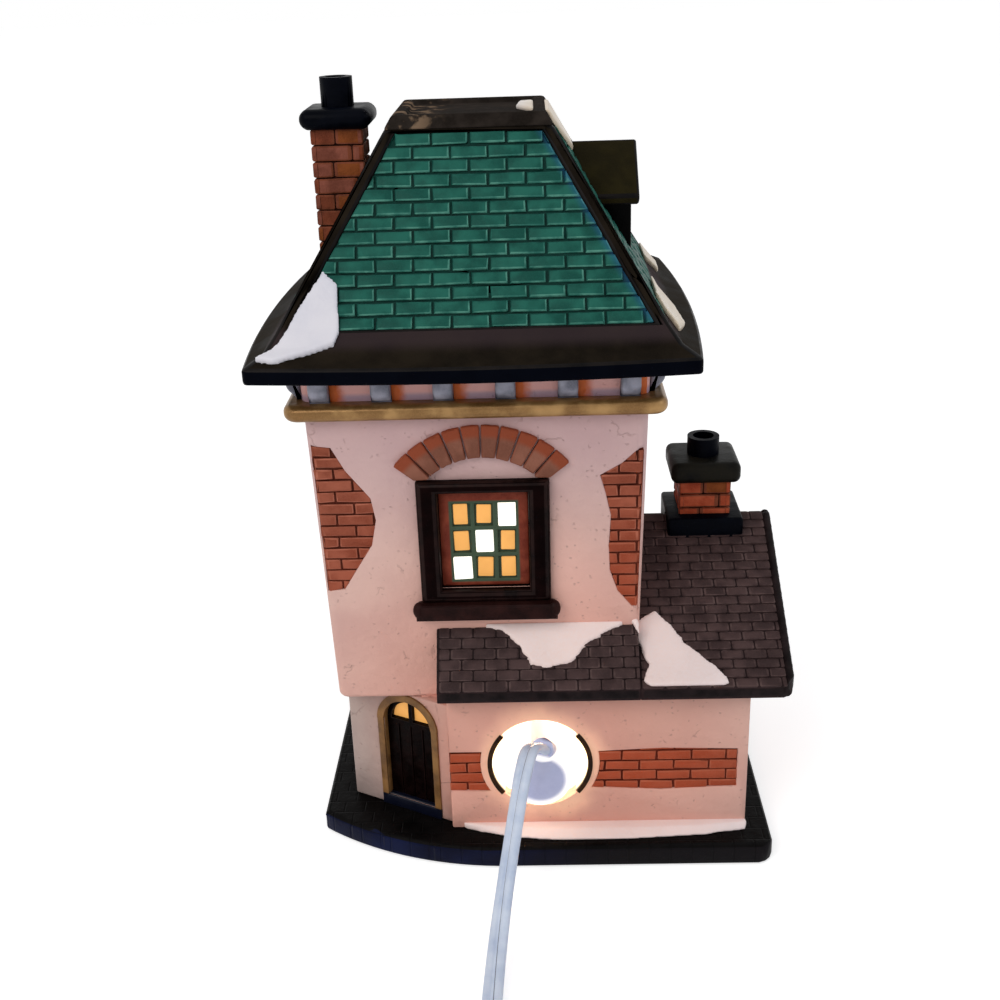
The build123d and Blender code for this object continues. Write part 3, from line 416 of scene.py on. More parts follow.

# %% [markdown]
# ## The lamp cord
# A flat twin cord: two cores side by side with a groove between, painted darker as painted shade. It bends over the
# holder, falls to the table and runs out of the picture, and the rest is wound into a coil for storage. The route is
# a
# NURBS line with the points of the imported model. A twin outline is swept along it, tilted on the way down as the
# cord lies.

# %% The lamp cord
CORD_WIDE, CORD_THICK, CORD_LONG = 5.4 * MM, 2.7 * MM, 1.65
ROUTE = [
    (15.2, -57.4, 38.2), (12.4, -63.4, 44.4), (10.2, -72.2, 41.8), (7.7, -78.6, 30.0), (5.0, -86.4, 16.6),
    (2.9, -97.0, 7.2), (1.6, -113.0, 3.0), (0.8, -132.0, 2.3), (0.4, -150.0, 2.3), (0.4, -166.6, 2.3),
]
CORD_TILT = (0, 14, 26, 30, 30, 24, 14, 6, 0)
COIL_MIDDLE, COIL_OUTER, COIL_INNER, COIL_STEP, COIL_LIFT = (43.4, -172.0), 43.0, 22.0, 3.0, 3.6
TAIL_OUT, TAIL_LONG = 11.0, 12.0
HALF_TURN_POINTS, CORE_POINTS, CORE_STEP = 6, 19, 16
OUTLINE_POINTS = 2 * CORE_POINTS


def coil_route(rest):
    """Points of the coil: in on the lower layer, then out again on the upper one."""
    turns = round((COIL_OUTER - COIL_INNER) / COIL_STEP)
    reach = [(COIL_OUTER - COIL_STEP * k, rest) for k in range(turns)]
    reach.append((COIL_INNER, rest + COIL_LIFT))
    reach += [(COIL_INNER + COIL_STEP * (k + 1), rest + COIL_LIFT) for k in range(1, turns)]
    reach.append((COIL_OUTER + TAIL_OUT, rest + COIL_LIFT))
    points = []
    for k, ((start, low), (end, high)) in enumerate(zip(reach, reach[1:])):
        side = -1 if k % 2 == 0 else 1
        radius, middle = (start + end) / 2, side * (start - end) / 2
        for part in range(HALF_TURN_POINTS):
            turn = math.pi * part / HALF_TURN_POINTS
            lift = low + (high - low) * (1 - math.cos(turn)) / 2
            wide = radius / math.cos(math.pi / (2 * HALF_TURN_POINTS))
            points.append((COIL_MIDDLE[0] + middle + side * wide * math.cos(turn),
                           COIL_MIDDLE[1] + side * wide * math.sin(turn), lift))
    last = reach[-1]
    points.append((COIL_MIDDLE[0] - last[0], COIL_MIDDLE[1], last[1]))
    points.append((COIL_MIDDLE[0] - last[0], COIL_MIDDLE[1] - TAIL_LONG, last[1]))
    return points


def add_curve(name, dimensions, kind, points):
    """A curve object through or near some points, and its spline."""
    line = bpy.data.curves.new(name, "CURVE")
    line.dimensions = dimensions
    spline = line.splines.new(kind)
    spline.points.add(len(points) - 1)
    for point, place in zip(spline.points, points):
        point.co = (*place, 1.0)
    made = bpy.data.objects.new(name, line)
    bpy.context.collection.objects.link(made)
    return made, spline


def route_line(name, points):
    """A smooth NURBS curve with these points, in millimetres from the tower's axis, as its control points."""
    made, spline = add_curve(name, "3D", "NURBS", [(x * MM + TOWER_X, y * MM, z * MM) for x, y, z in points])
    made.data.twist_mode = "Z_UP"
    for point, tilt in zip(spline.points, CORD_TILT):
        point.tilt = math.radians(tilt)
    spline.order_u = 3
    spline.use_endpoint_u = True
    spline.resolution_u = 6
    return made


def twin_outline():
    """The cord's section: two round cores with a groove above and below their joint."""
    core = CORD_THICK / 2
    turns = [math.radians(CORE_STEP * (k - CORE_POINTS // 2)) for k in range(CORE_POINTS)]
    points = [(core * (math.cos(turn) + 1), core * math.sin(turn)) for turn in turns]
    points += [(-x, -y) for x, y in points]
    made, spline = add_curve("twin_outline", "2D", "POLY", [(x, y, 0.0) for x, y in points])
    spline.use_cyclic_u = True
    return made


cord = route_line("lamp_cord", ROUTE + coil_route(ROUTE[-1][2]))
bpy.context.view_layer.update()
bare = bpy.data.meshes.new_from_object(cord)
cord_path = [tuple(vertex.co) for vertex in bare.vertices]
bpy.data.meshes.remove(bare)
outline = twin_outline()
cord.data.bevel_mode = "OBJECT"
cord.data.bevel_object = outline
cord.data.use_fill_caps = True
pick_only(cord)
bpy.ops.object.convert(target="MESH")
cord = bpy.context.active_object
bpy.ops.object.mode_set(mode="EDIT")
bpy.ops.mesh.select_all(action="SELECT")
bpy.ops.mesh.remove_doubles(threshold=0.001 * MM)
bpy.ops.mesh.normals_make_consistent(inside=False)
close_smooth()
bpy.data.objects.remove(outline)
cord_skin = glaze("cord_skin", (192, 206, 230), (220, 230, 246), 0.42, 120, grain=900, depth=20, shine=0.35)
# Painted shade: the faces in the cord's grooves get a darker glaze.
groove_shade = glaze("cord_groove_shade", (120, 126, 140), (142, 148, 162), 0.6, 120, grain=900, depth=20)
cord.data.materials.clear()
for finish in (cord_skin, groove_shade):
    cord.data.materials.append(finish)
grooves = [{0, OUTLINE_POINTS - 1}, {OUTLINE_POINTS // 2 - 1, OUTLINE_POINTS // 2}]
for face in cord.data.polygons:
    face.material_index = int({corner % OUTLINE_POINTS for corner in face.vertices} in grooves)
cord_length = sum((Vector(b) - Vector(a)).length for a, b in zip(cord_path, cord_path[1:]))
sunk = sum(face.material_index for face in cord.data.polygons)
print("cord", round(cord_length, 3), "m,", len(cord.data.polygons), "faces,", sunk, "in the grooves")

# %% [markdown]
# ## Plug and tie
# The plug, its blades and the tie lie with the coil, out of the picture. Their nodes have the right shape, so soft
# copies in white plastic and plain brass finish them.

# %% Plug and tie
# The white plastic is painted a dim lavender: painted shade, as the socket lies in shade.
white_plastic = glaze("white_plastic", (190, 196, 232), (208, 214, 246), 0.38, 90, grain=1800, depth=20, shine=0.35)
brass = glaze("brass", (150, 112, 52), (206, 168, 96), 0.30, 400, grain=3000, depth=10, shine=0.5)
set_inputs(shader_of(brass), {"Metallic": 1.0})
plug = soft_copy("plug_body", [white_plastic], 0.8, 3, body="light_set")
tie = soft_copy("coil_tie", [white_plastic], 0.12, 2, body="light_set")
blades = soft_copy("plug_blades", [brass], 0.25, 2, body="light_set")
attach(cord, "light_set")
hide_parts("cord_lead", "cord_coil")
print("plug, tie and blades ride with the lamp holder")

# %% [markdown]
# ## Green slates
# The four slopes carry small slates with dark joints, a paler painted highlight on the edges that face down or right
# and a little painted shade on the other edges. A painted blue highlight runs down beside the right-hand hip of the
# rear slope. Painting it on each slate by hand would be slow, so the finish measures how far a point lies from the
# line of that hip.

# %% Green slates
RISE, RUN, BREAK_HALF, BREAK_Z = 48.7 * MM, 29.7 * MM, 49.4 * MM, 156.7 * MM
SLOPE_OUT = Vector((0, -RISE, RUN)).normalized()
SLOPE_FOOT = Vector((0, -BREAK_HALF, BREAK_Z))
SLOPE_DOWN = Vector((0, -RUN, -RISE)).normalized()
# A painted blue highlight beside the rear slope's right-hand hip, and how far it reaches.
BLUE_SHEEN, SHEEN_REACH = (46, 96, 158), (6.2 * MM, 1.4 * MM)
JOINT_DEEP = 0.62 * MM


def turned_back(direction, quarter_turns):
    """A direction on one of the four slopes, turned to the slope that faces the camera."""
    return Matrix.Rotation(math.radians(-90 * quarter_turns), 3, "Z") @ direction


def slope_depth(point, quarter_turns):
    """How far a point lies above its roof slope."""
    return (turned_back(point - Vector((TOWER_X, 0, 0)), quarter_turns) - SLOPE_FOOT).dot(SLOPE_OUT)


def lit_side_edge(out, quarter_turns):
    """Whether a slate's edge faces down or to the right, where it gets a paler painted highlight."""
    turned = turned_back(out, quarter_turns)
    return turned.x > 0.30 or turned.dot(SLOPE_DOWN) > 0.30


def paint_hip_sheen(finish):
    """Blends a slate finish into a painted blue highlight beside the right-hand hip."""
    hip_foot = -TOWER_X - BREAK_HALF - BREAK_Z * RUN / RISE
    hip = sums("MULTIPLY_ADD", object_axis(finish, "Z"), RUN / RISE, hip_foot)
    inside = product(sums("ADD", hip, object_axis(finish, "X")), -1.0)
    blend_finish(finish, steps(inside, *SHEEN_REACH), BLUE_SHEEN, 0.6)


def slate_finishes():
    """The face, shaded edge, joint and highlighted edge glazes of one slope."""
    return [glaze("slate_face", (17, 71, 62), (36, 100, 87), 0.50, 150, grain=3200, depth=80, shine=0.08),
            glaze("slate_shaded_edge", (18, 70, 62), (34, 94, 83), 0.48, 300, grain=3200, depth=40, shine=0.08),
            glaze("slate_joint", (7, 42, 37), (14, 56, 49), 0.6, 500, grain=3200, depth=40, shine=0.08),
            glaze("slate_lit_edge", (38, 100, 89), (86, 146, 130), 0.48, 300, grain=3200, depth=40, shine=0.08)]


plain_slates, sheen_slates = slate_finishes(), slate_finishes()
# The rear slope's finishes carry the painted blue highlight by the hip.
for finish in sheen_slates:
    paint_hip_sheen(finish)
for name, quarter in (("rear", 0), ("front", 2), ("left", -1), ("right", 1)):
    panel = soft_copy("slates_" + name, plain_slates if quarter else sheen_slates, 0.42, 2, 1,
                      jitter=0.26, seed=quarter + 5)
    # Edges facing down or right get the painted highlight; the other bevels keep the darker edge glaze, painted
    # shade.
    repaint(panel, 3, lambda middle, out: lit_side_edge(out, quarter))
    deep = repaint(panel, 2, lambda middle, out: slope_depth(middle, quarter) < -JOINT_DEEP)
    print("slates", name, len(panel.data.polygons), "faces,", deep, "in the joints")

# %% [markdown]
# ## Hips, eaves, deck and dormer
# The rest of the roof is a brown so dark that it looks black, with a purple-grey painted highlight along the top of
# the skirt. The edge of the eaves is blue-black, the dormer is olive-brown with its body and window painted black as
# painted shade, and the left end of the roof deck is rubbed pale in places.

# %% Hips, eaves, deck and dormer
EAVE_TOP_Z = 153 * MM
roof_trim = glaze("roof_trim", (18, 14, 10), (36, 30, 23), 0.66, 90, grain=2200, shine=0.02)
height = object_axis(roof_trim, "Z")
# A purple-grey band along the top of the skirt: a painted highlight.
band = product(steps(height, BREAK_Z - 0.0045, BREAK_Z - 0.0015), steps(height, BREAK_Z + 0.0025, BREAK_Z))
blend_finish(roof_trim, band, (66, 54, 58), 0.5)
trim_edge = glaze("trim_edge", (12, 11, 12), (28, 24, 23), 0.40, 120, grain=2200, depth=30, shine=0.05)
eave_dark = glaze("eave_dark", (0, 1, 7), (3, 5, 13), 0.50, 120, grain=2200, depth=30, shine=0.02)
deck_glaze = glaze("deck_glaze", (28, 24, 21), (50, 44, 40), 0.85, 160, grain=2200, depth=60, shine=0.01)
deck_left = steps(object_axis(deck_glaze, "X"), TOWER_X - 0.005, TOWER_X - 0.014)
rubbed = product(steps(mottle(object_place(deck_glaze), 230.0, 4.0), 0.50, 0.62), deck_left)
blend_finish(deck_glaze, rubbed, (150, 124, 100), 0.6)
dormer_olive = glaze("dormer_olive", (27, 23, 9), (40, 35, 17), 0.66, 160, grain=2200, depth=60, shine=0.03)
# Painted shade: the dormer's body and window are near-black where they lie in shadow.
dormer_shade_black = glaze("dormer_shade_black", (1, 1, 1), (5, 4, 4), 0.4, 160, grain=2200, depth=40, shine=0.03)
roof = soft_copy("main_roof", [roof_trim, trim_edge, eave_dark], 0.9, 3, 1, flat=False)
eaves = repaint(roof, 2, lambda middle, out: out.z < 0.35 and middle.z < EAVE_TOP_Z)
deck = node_copy("roof_deck", [deck_glaze])
melt(deck, 0.32 * MM, 16, 0.15 * MM)
settle(deck, "roof_deck")
soft_copy("dormer_roof", [dormer_olive, trim_edge], 0.7, 3, 1)
soft_copy("dormer_body", [dormer_shade_black], 0.5, 3)
soft_copy("dormer_window", [dormer_shade_black], 0.15, 2)
print("eave faces", eaves, "deck faces", len(deck.data.polygons))

# %% [markdown]
# ## Chimneys
# Each stack is laid in brick courses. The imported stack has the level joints, so it becomes the mortar, and one soft
# brick is copied over its four sides in running bond. Caps and pots are blue-black. The wing's cap is olive, and so
# round that a softened block stands in for its node.

# %% Chimneys
COURSE, BRICK_HIGH, BRICK_GAP, BRICK_SUNK = 4.3 * MM, 3.9 * MM, 0.35 * MM, 0.35 * MM
STACK_SHRINK, CAP_SHRINK, CAP_ROUND = 0.91, 0.94, 2.1 * MM
flue_red = glaze("flue_red", (98, 46, 28), (130, 66, 44), 0.60, 220, depth=90)
flue_orange = glaze("flue_orange", (112, 56, 24), (142, 76, 38), 0.60, 220, depth=90)
flue_pink = glaze("flue_pink", (112, 60, 46), (146, 84, 68), 0.60, 220, depth=90)
flue_bright = glaze("flue_bright", (156, 64, 38), (188, 92, 62), 0.60, 220, depth=90)
flue_edge = glaze("flue_edge", (96, 48, 30), (136, 74, 52), 0.60, 220, depth=60)
flue_joint = glaze("flue_joint", (40, 16, 10), (62, 28, 19), 0.75, 300, depth=80)
blue_black = glaze("blue_black", (0, 1, 6), (4, 6, 14), 0.40, 160, grain=2200, depth=40, shine=0.03)
cap_olive = glaze("cap_olive", (10, 10, 10), (28, 26, 20), 0.42, 130, grain=2200, shine=0.06)


def brick_sides(stack_box, per_side):
    """Places of the bricks round a stack: x along the side, y up, z out."""
    (x0, y0, z0), (x1, y1, z1) = stack_box
    middle = Vector(((x0 + x1) / 2, (y0 + y1) / 2, 0))
    chance = random.Random(11)
    places = []
    for turn in range(4):
        wide, out = (x1 - x0, (y1 - y0) / 2) if turn % 2 == 0 else (y1 - y0, (x1 - x0) / 2)
        side = Matrix.Translation(middle) @ Matrix.Rotation(turn * math.pi / 2, 4, "Z")
        pitch, course, top = wide / per_side, 0, z1
        while top - BRICK_HIGH > z0 - COURSE / 2:
            slip = chance.uniform(0.36, 0.60) + (0.30 if course % 2 else 0.0)
            cuts = [0.0, *[(k + slip) * pitch for k in range(per_side)], wide]
            low = max(top - BRICK_HIGH, z0)
            for left, right in zip(cuts, cuts[1:]):
                at = Vector(((left + right) / 2 - wide / 2, -out + BRICK_SUNK + 0.6 * MM, (low + top) / 2))
                long = min(right - left - BRICK_GAP, wide - 2 * BRICK_SUNK)
                lean = Matrix.Rotation(chance.uniform(-0.025, 0.025), 4, "Y")
                places.append(side @ Matrix.Translation(at) @ lean @ Matrix.Diagonal((long, 1.2 * MM, top - low, 1)))
            course, top = course + 1, top - COURSE
    return places


for name, shades in (("main_chimney", (flue_red, flue_orange, flue_pink, flue_red)),
                     ("annex_chimney", (flue_bright, flue_orange, flue_bright))):
    low, high = (Vector(corner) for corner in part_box(name + "_stack"))
    stack = node_copy(name + "_stack", [flue_joint])
    bpy.ops.transform.resize(value=(STACK_SHRINK, STACK_SHRINK, 1.0), center_override=(low + high) / 2)
    settle(stack, name + "_stack")
    brick = block_pattern(name + "_brick", (1, 1, 1), 0.10, [flue_red, flue_edge], 1, 2)
    laid = lay_copies(name + "_bricks", brick, brick_sides((low, high), 1), shades)
    soft_copy(name + "_pot", [blue_black], 1.0, 4)
    print(name, len(laid.data.polygons), "brick faces")
soft_copy("main_chimney_cap", [blue_black], 0.8, 4)
low, high = (Vector(corner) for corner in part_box("annex_chimney_cap"))
wide, deep, tall = high - low
cap = block_pattern("annex_cap", (CAP_SHRINK * wide, CAP_SHRINK * deep, tall), CAP_ROUND, [cap_olive], -1, 5)
cap = lay_copies("annex_chimney_cap_cast", cap, [Matrix.Translation((low + high) / 2)])
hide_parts("annex_chimney_cap")
soft_copy("annex_chimney_flashing", [blue_black], 0.9, 3)

# %% [markdown]
# ## Plaster and the glow of the lamp
# The walls are a pinkish slip with pin holes and hairline cracks, greyer towards the top and paler under the window.
# Thin ceramic lets the lamp's light through, so the walls turn salmon near the lamp and cream close to the hole.
# Both follow from a distance in space, which stays true from every side. Under the eaves each bracket has a brown
# band beside one side, and the pink panels between the brackets are painted lighter than the wall, as painted lamp
# light under the eaves.

# %% Plaster and the glow of the lamp
HOLE_AT = Vector((2.2, -50.0, 28.65)) * MM
BLUSH_AT = Vector((-4.0, -44.0, 76.0)) * MM
GREY_HEIGHTS, BLUSH_REACH, HOLE_GLOW = (0.085, 0.135), (0.036, 0.014), (0.0270, 0.0185)
BRACKET_STEP, BRACKET_FIRST = 16.0 * MM, 8.0 * MM
FRIEZE_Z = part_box("cornice_brackets")[0][2]


def frieze_panels(place, colour):
    """Pink panels between the brackets, lighter as painted lamp light, brown on one side and lavender at the foot."""
    at = axes(place)
    facing = axes(place.id_data.nodes.new("ShaderNodeNewGeometry").outputs["Normal"])
    sideways = sums("GREATER_THAN", sums("ABSOLUTE", facing["X"], 0.0), 0.7)
    from_tower = sums("SUBTRACT", at["X"], TOWER_X)
    along = sums("ADD", product(sideways, at["Y"]), product(sums("SUBTRACT", 1.0, sideways), from_tower))
    past = sums("FLOORED_MODULO", sums("ADD", along, BRACKET_FIRST), BRACKET_STEP)
    ragged = sums("MULTIPLY_ADD", mottle(place, 420.0, 3.0), 0.003, -0.0015)
    brown = steps(sums("ADD", past, ragged), 0.0074, 0.0040)
    foot = steps(at["Z"], FRIEZE_Z + 0.0024, FRIEZE_Z + 0.0010)
    # The panel pink is lighter than the wall: painted lamp light under the eaves.
    panel = blend_colours(foot, screen(255, 194, 188), screen(206, 172, 190))
    panel = blend_colours(brown, panel, screen(224, 106, 34), 0.95)
    return blend_colours(steps(at["Z"], FRIEZE_Z - 0.0006, FRIEZE_Z), colour, panel)


def plaster_finish(name, dark, light, frieze, glow_reach=0.10):
    """Slip-coated wall: clouds, dark pin holes, hairline cracks and the lamp's glow."""
    made, shader, place = start_finish(name)
    tree = made.node_tree
    clouds = steps(mottle(place, 60.0, 5.0), 0.3, 0.72)
    colour = blend_colours(clouds, screen(*dark), screen(*light))
    swirl = add_node(tree, "ShaderNodeTexNoise", {"Vector": place, "Scale": 700.0}).outputs["Color"]
    bent = vector_sums("ADD", place, {1: vector_sums("SCALE", swirl, {"Scale": 0.0016})[0]})[0]
    spots = add_node(tree, "ShaderNodeTexVoronoi", {"Vector": bent, "Scale": 560.0}).outputs["Distance"]
    pits = product(steps(spots, 0.26, 0.10), steps(mottle(place, 240.0, 2.0), 0.46, 0.60))
    lines = add_node(tree, "ShaderNodeTexVoronoi", {"Vector": bent, "Scale": 90.0}, feature="DISTANCE_TO_EDGE")
    few = steps(mottle(place, 120.0, 2.0), 0.60, 0.66)
    cracks = product(steps(lines.outputs["Distance"], 0.020, 0.008), few)
    tints = ((steps(axes(place)["Z"], *GREY_HEIGHTS), (200, 166, 172), 0.65),
             (steps(distance(place, BLUSH_AT), *BLUSH_REACH), (255, 212, 200), 0.9),
             (near_lamp(place, 0.03, glow_reach), (232, 164, 144), 0.75),
             (pits, (150, 116, 112), 0.34), (cracks, (146, 112, 104), 0.25))
    for share, tint, strength in tints:
        colour = blend_colours(share, colour, screen(*tint), strength)
    if frieze:
        colour = frieze_panels(place, colour)
    waves = product(mottle(place, 420.0, 6.0), 2.6)
    dents = sums("SUBTRACT", waves, sums("ADD", pits, cracks))
    ragged = sums("ADD", distance(place, HOLE_AT), product(mottle(place, 90.0, 2.0), 0.010))
    set_inputs(shader, {
        "Base Color": colour,
        "Roughness": 0.52,
        "Specular IOR Level": 0.25,
        "Normal": relief(dents, 0.00016, 0.8),
        "Emission Strength": product(steps(ragged, *HOLE_GLOW), 0.30),
        "Emission Color": (1.0, 0.66, 0.36, 1.0),
    })
    return made


plaster = plaster_finish("plaster", (214, 176, 166), (230, 194, 182), False)
pier_plaster = plaster_finish("pier_plaster", (170, 150, 144), (188, 168, 160), False, 0.060)
upper_plaster = plaster_finish("upper_plaster", (214, 178, 171), (230, 196, 186), True)
print("three plasters ready")

# %% [markdown]
# ## Walls and brickwork
# Where the slip has fallen away the bricks show. They are nodes of their own, so soft copies with a paler edge will
# do. The sunk faces behind them are painted as mortar. The arch over the window has a red band along its top. The
# soft edges over the door pier would leave a slit into the lit house, so two bars of slip close it from inside.

# %% Walls and brickwork
WALL_HALF, WALL_FOOT_Z = 42.8, 46.8
WALL_TOP_HALF, WALL_TOP_Z = 45.4, 146.0
WALL_LEAN = (WALL_TOP_HALF - WALL_HALF) / (WALL_TOP_Z - WALL_FOOT_Z)
STOREY_SUNK, ANNEX_SUNK = (-1.1 * MM, -0.6 * MM), (-49.6 * MM, -48 * MM)
ARCH_X, ARCH_Z, ARCH_BAND = 1.0 * MM, 100.4 * MM, 0.0272
# Near the lamp, bricks and mortar blend into a painted glow of the lamp's light.
brick_face = glaze("brick_face", (132, 66, 47), (172, 98, 76), 0.62, 110, depth=100, lamp_glow=(186, 76, 42))
brick_edge = glaze("brick_edge", (146, 78, 58), (184, 110, 88), 0.60, 200, lamp_glow=(188, 90, 58))
mortar = glaze("mortar", (88, 40, 30), (116, 58, 44), 0.75, 300, depth=80, lamp_glow=(120, 46, 30))


def wall_depth(point):
    """How far a point lies outside the rear wall of the upper storey."""
    return -point.y - WALL_HALF * MM - WALL_LEAN * (point.z - WALL_FOOT_Z * MM)


def sunk_in(limits, depth, out):
    """Whether a face towards the camera lies between two depths."""
    return out.y < -0.9 and limits[0] < depth < limits[1]


storey = soft_copy("upper_storey", [upper_plaster, mortar], 0.35, 2)
sunk = repaint(storey, 1, lambda middle, out: sunk_in(STOREY_SUNK, wall_depth(middle), out))
ground = soft_copy("tower_ground_walls", [pier_plaster], 0.5, 2)
soft_copy("annex_gable_walls", [plaster], 0.8, 2)
annex_wall = soft_copy("annex_rear_wall", [plaster, mortar], 0.5, 2)
sunk += repaint(annex_wall, 1, lambda middle, out: sunk_in(ANNEX_SUNK, middle.y, out))
bricks = [brick_face, brick_edge]
soft_copy("brick_patches", bricks, 0.32, 2, 1, jitter=0.3, seed=3)
soft_copy("annex_brick_band", bricks, 0.32, 2, 1, jitter=0.34, seed=4)
for side, sign in (("rear", 1), ("front", -1)):
    faces = glaze(side + "_arch_face", (122, 76, 60), (150, 98, 80), 0.60, 160, depth=80)
    edges = glaze(side + "_arch_edge", (116, 66, 50), (146, 88, 70), 0.60, 200)
    for finish in (faces, edges):
        out = away_in_wall(finish, (TOWER_X + sign * ARCH_X, 0, ARCH_Z))
        blend_finish(finish, steps(out, ARCH_BAND - 0.0012, ARCH_BAND + 0.0006), (146, 72, 48))
    soft_copy(side + "_window_arch", [faces, edges], 0.35, 2, 1, jitter=0.12, seed=6)
SEAM_BARS = ((Vector((-19.0, -42.4, 44.6)), Vector((-11.2, -39.0, 47.2))),
             (Vector((-11.2, -46.9, 44.6)), Vector((-8.0, -39.0, 47.2))))
seam_places = [face_frame((low + high) / 2, (1, 0, 0), (0, 1, 0)) @ Matrix.Diagonal((*((high - low) * MM), 1))
               for low, high in SEAM_BARS]
lay_copies("pier_seam_slip", block_pattern("seam_bar", (1, 1, 1), 0.03, [plaster]), seam_places)
print("mortar faces", sunk)

# %% [markdown]
# ## Cornice and base
# The moulding is antique gold with a painted highlight along its upper edges, the brackets under the eaves a rounded
# grey-blue, and the base blue-black with the faint joints of paving stones. Three of the base's corners are rounded
# by upright cuts.

# %% Cornice and base
RIM_FADE_X, BASE_ROUND = (-0.045, 0.030), 5.0 * MM
gold = glaze("gold_glaze", (122, 88, 48), (176, 138, 88), 0.36, 150, grain=2600, shine=0.3)
gold_highlight = glaze("gold_highlight", (150, 116, 66), (216, 182, 128), 0.30, 150, grain=2600, shine=0.3)
set_inputs(shader_of(gold), {"Metallic": 0.45})
bracket = glaze("bracket_glaze", (108, 110, 124), (170, 170, 186), 0.40, 160, shine=0.3)
base_glaze = glaze("base_glaze", (4, 3, 3), (13, 11, 11), 0.42, 110, grain=2200, depth=100, shine=0.04)
base_rim = glaze("base_rim", (6, 10, 34), (20, 27, 60), 0.40, 60, grain=2200, depth=80, shine=0.05)
blend_finish(base_rim, steps(object_axis(base_rim, "X"), *RIM_FADE_X), (17, 14, 17))


def paving_joints(finish):
    """Sinks faint joints between stones 6 mm long into a finish."""
    shader = shader_of(finish)
    stones = {"Vector": object_place(finish), "Scale": 1.0, "Mortar Size": 0.0003, "Brick Width": 0.0060,
              "Row Height": 0.0052, "Mortar Smooth": 0.6}
    joints = add_node(finish.node_tree, "ShaderNodeTexBrick", stones).outputs["Fac"]
    bumped = relief(sums("SUBTRACT", 1.0, joints), 0.0004, 0.9)
    set_inputs(bumped.node, {"Normal": shader.inputs["Normal"].links[0].from_socket})
    set_inputs(shader, {"Normal": bumped})


for finish in (base_glaze, base_rim):
    paving_joints(finish)
moulding = soft_copy("cornice_moulding", [gold, gold_highlight], 0.6, 3, 1)
# Only the bevels that face up keep the paler gold: a painted highlight along the moulding's top.
repaint(moulding, 0, lambda middle, out: out.z < 0.15)
soft_copy("cornice_brackets", [bracket], 1.3, 4)
(left_end, near_end, _), (right_end, far_end, _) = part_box("base_slab")
BASE_CORNERS = ((right_end, near_end, 1, -1), (right_end, far_end, 1, 1), (left_end, far_end, -1, 1))
cuts = [cut for x, y, right, near in BASE_CORNERS for cut in corner_cuts((x, y), right, near, BASE_ROUND)]
slab = soft_copy("base_slab", [base_glaze, base_rim], 0.9, 3, 1, cuts=cuts)
repaint(slab, 1, lambda middle, out: out.z < 0.5)
print("cornice and base glazed")

# %% [markdown]
# ## Slates of the low roofs
# The wing and the pent roof carry small brown slates in running bond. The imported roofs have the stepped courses, so
# one slate with a worn edge is copied along each step, with every second course moved by half a slate.

# %% Slates of the low roofs
annex_slate = glaze("annex_slate", (56, 43, 43), (82, 64, 63), 0.56, 130, depth=100, shine=0.06)
annex_edge = glaze("annex_edge", (56, 42, 42), (92, 74, 72), 0.52, 260, shine=0.06)
annex_joint = glaze("annex_joint", (32, 22, 23), (50, 37, 38), 0.62, 260, shine=0.06)
annex_rim = glaze("annex_rim", (16, 11, 12), (38, 29, 30), 0.46, 200, depth=60, shine=0.06)
SLATE_LONG, SLATE_GAP, SLATE_THICK, SLATE_LAP = 6.4, 0.4, 0.7, 0.6
EAVE, RIDGE, PENT_HEAD = (-55.5, 55.8), (-5.0, 86.0), (-43.4, 69.5)
VERGE_X, PENT_LEFT_X = 84.4, -12.8
EAVE_THICK, RIM_WIDE, RIM_PROUD = 3.4, 2.4, 1.0
SLATES_END = VERGE_X - 1.5


def slate_places(low, high, courses, left_end, right_end, turned):
    """Places of the slates on a slope, given as (y, z) of its eave and its top in millimetres."""
    run, rise = high[0] - low[0], high[1] - low[1]
    along = (-1, 0, 0) if turned else (1, 0, 0)
    pitch = math.hypot(run, rise) / courses
    tilt = Matrix.Rotation(-math.atan2(0.85 * SLATE_LAP, pitch), 4, "X")
    places = []
    for course in range(courses):
        share = (course + 0.5) / courses
        y, z = low[0] + run * share, low[1] + rise * share
        left, right = left_end(z), right_end
        ends = [left] + [left + SLATE_LONG * (k + (0.5 if course % 2 else 1.0)) for k in range(40)]
        ends = [end for end in ends if end < right - 1.2] + [right]
        for start, end in zip(ends, ends[1:]):
            spot = face_frame(((start + end) / 2, y, z), along, (0, run, rise))
            lift = Matrix.Translation((0, 0, 0.2 * MM))
            places.append(spot @ lift @ tilt @ Matrix.Diagonal(((end - start - SLATE_GAP) * MM, (pitch - 0.12) * MM,
                                                               SLATE_THICK * MM, 1)))
    return places


def tower_side(z):
    """Where the upper storey's side wall stands at a height, in millimetres from the tower's axis."""
    return WALL_HALF + WALL_LEAN * (z - WALL_FOOT_Z)


far_eave = (2 * RIDGE[0] - EAVE[0], EAVE[1])
annex_places = slate_places(EAVE, RIDGE, 20, tower_side, SLATES_END, False)
annex_places += slate_places(far_eave, RIDGE, 20, tower_side, SLATES_END, True)
pent_places = slate_places(EAVE, PENT_HEAD, 6, lambda z: PENT_LEFT_X, tower_side(EAVE[1]) - 0.2, False)
roofs = {}
for name, places in (("annex", annex_places), ("pent", pent_places)):
    roofs[name] = soft_copy(name + "_roof", [annex_joint], 0.25, 2)
    slate = block_pattern(name + "_slate", (1, 1, 1), 0.09, [annex_slate, annex_edge], 1)
    laid = lay_copies(name + "_slates", slate, places)
    print(name, len(places), "slates,", len(laid.data.polygons), "faces")

# %% [markdown]
# ## Rims of the low roofs
# Eaves and verges end in a thick round rim. Bevelling the stepped roof itself would eat its steps, so the rims are
# long bars with round edges, laid over the roof's border. Upright cuts round the wing's two outer corners.

# %% Rims of the low roofs
CORNER_ROUND = 4.0


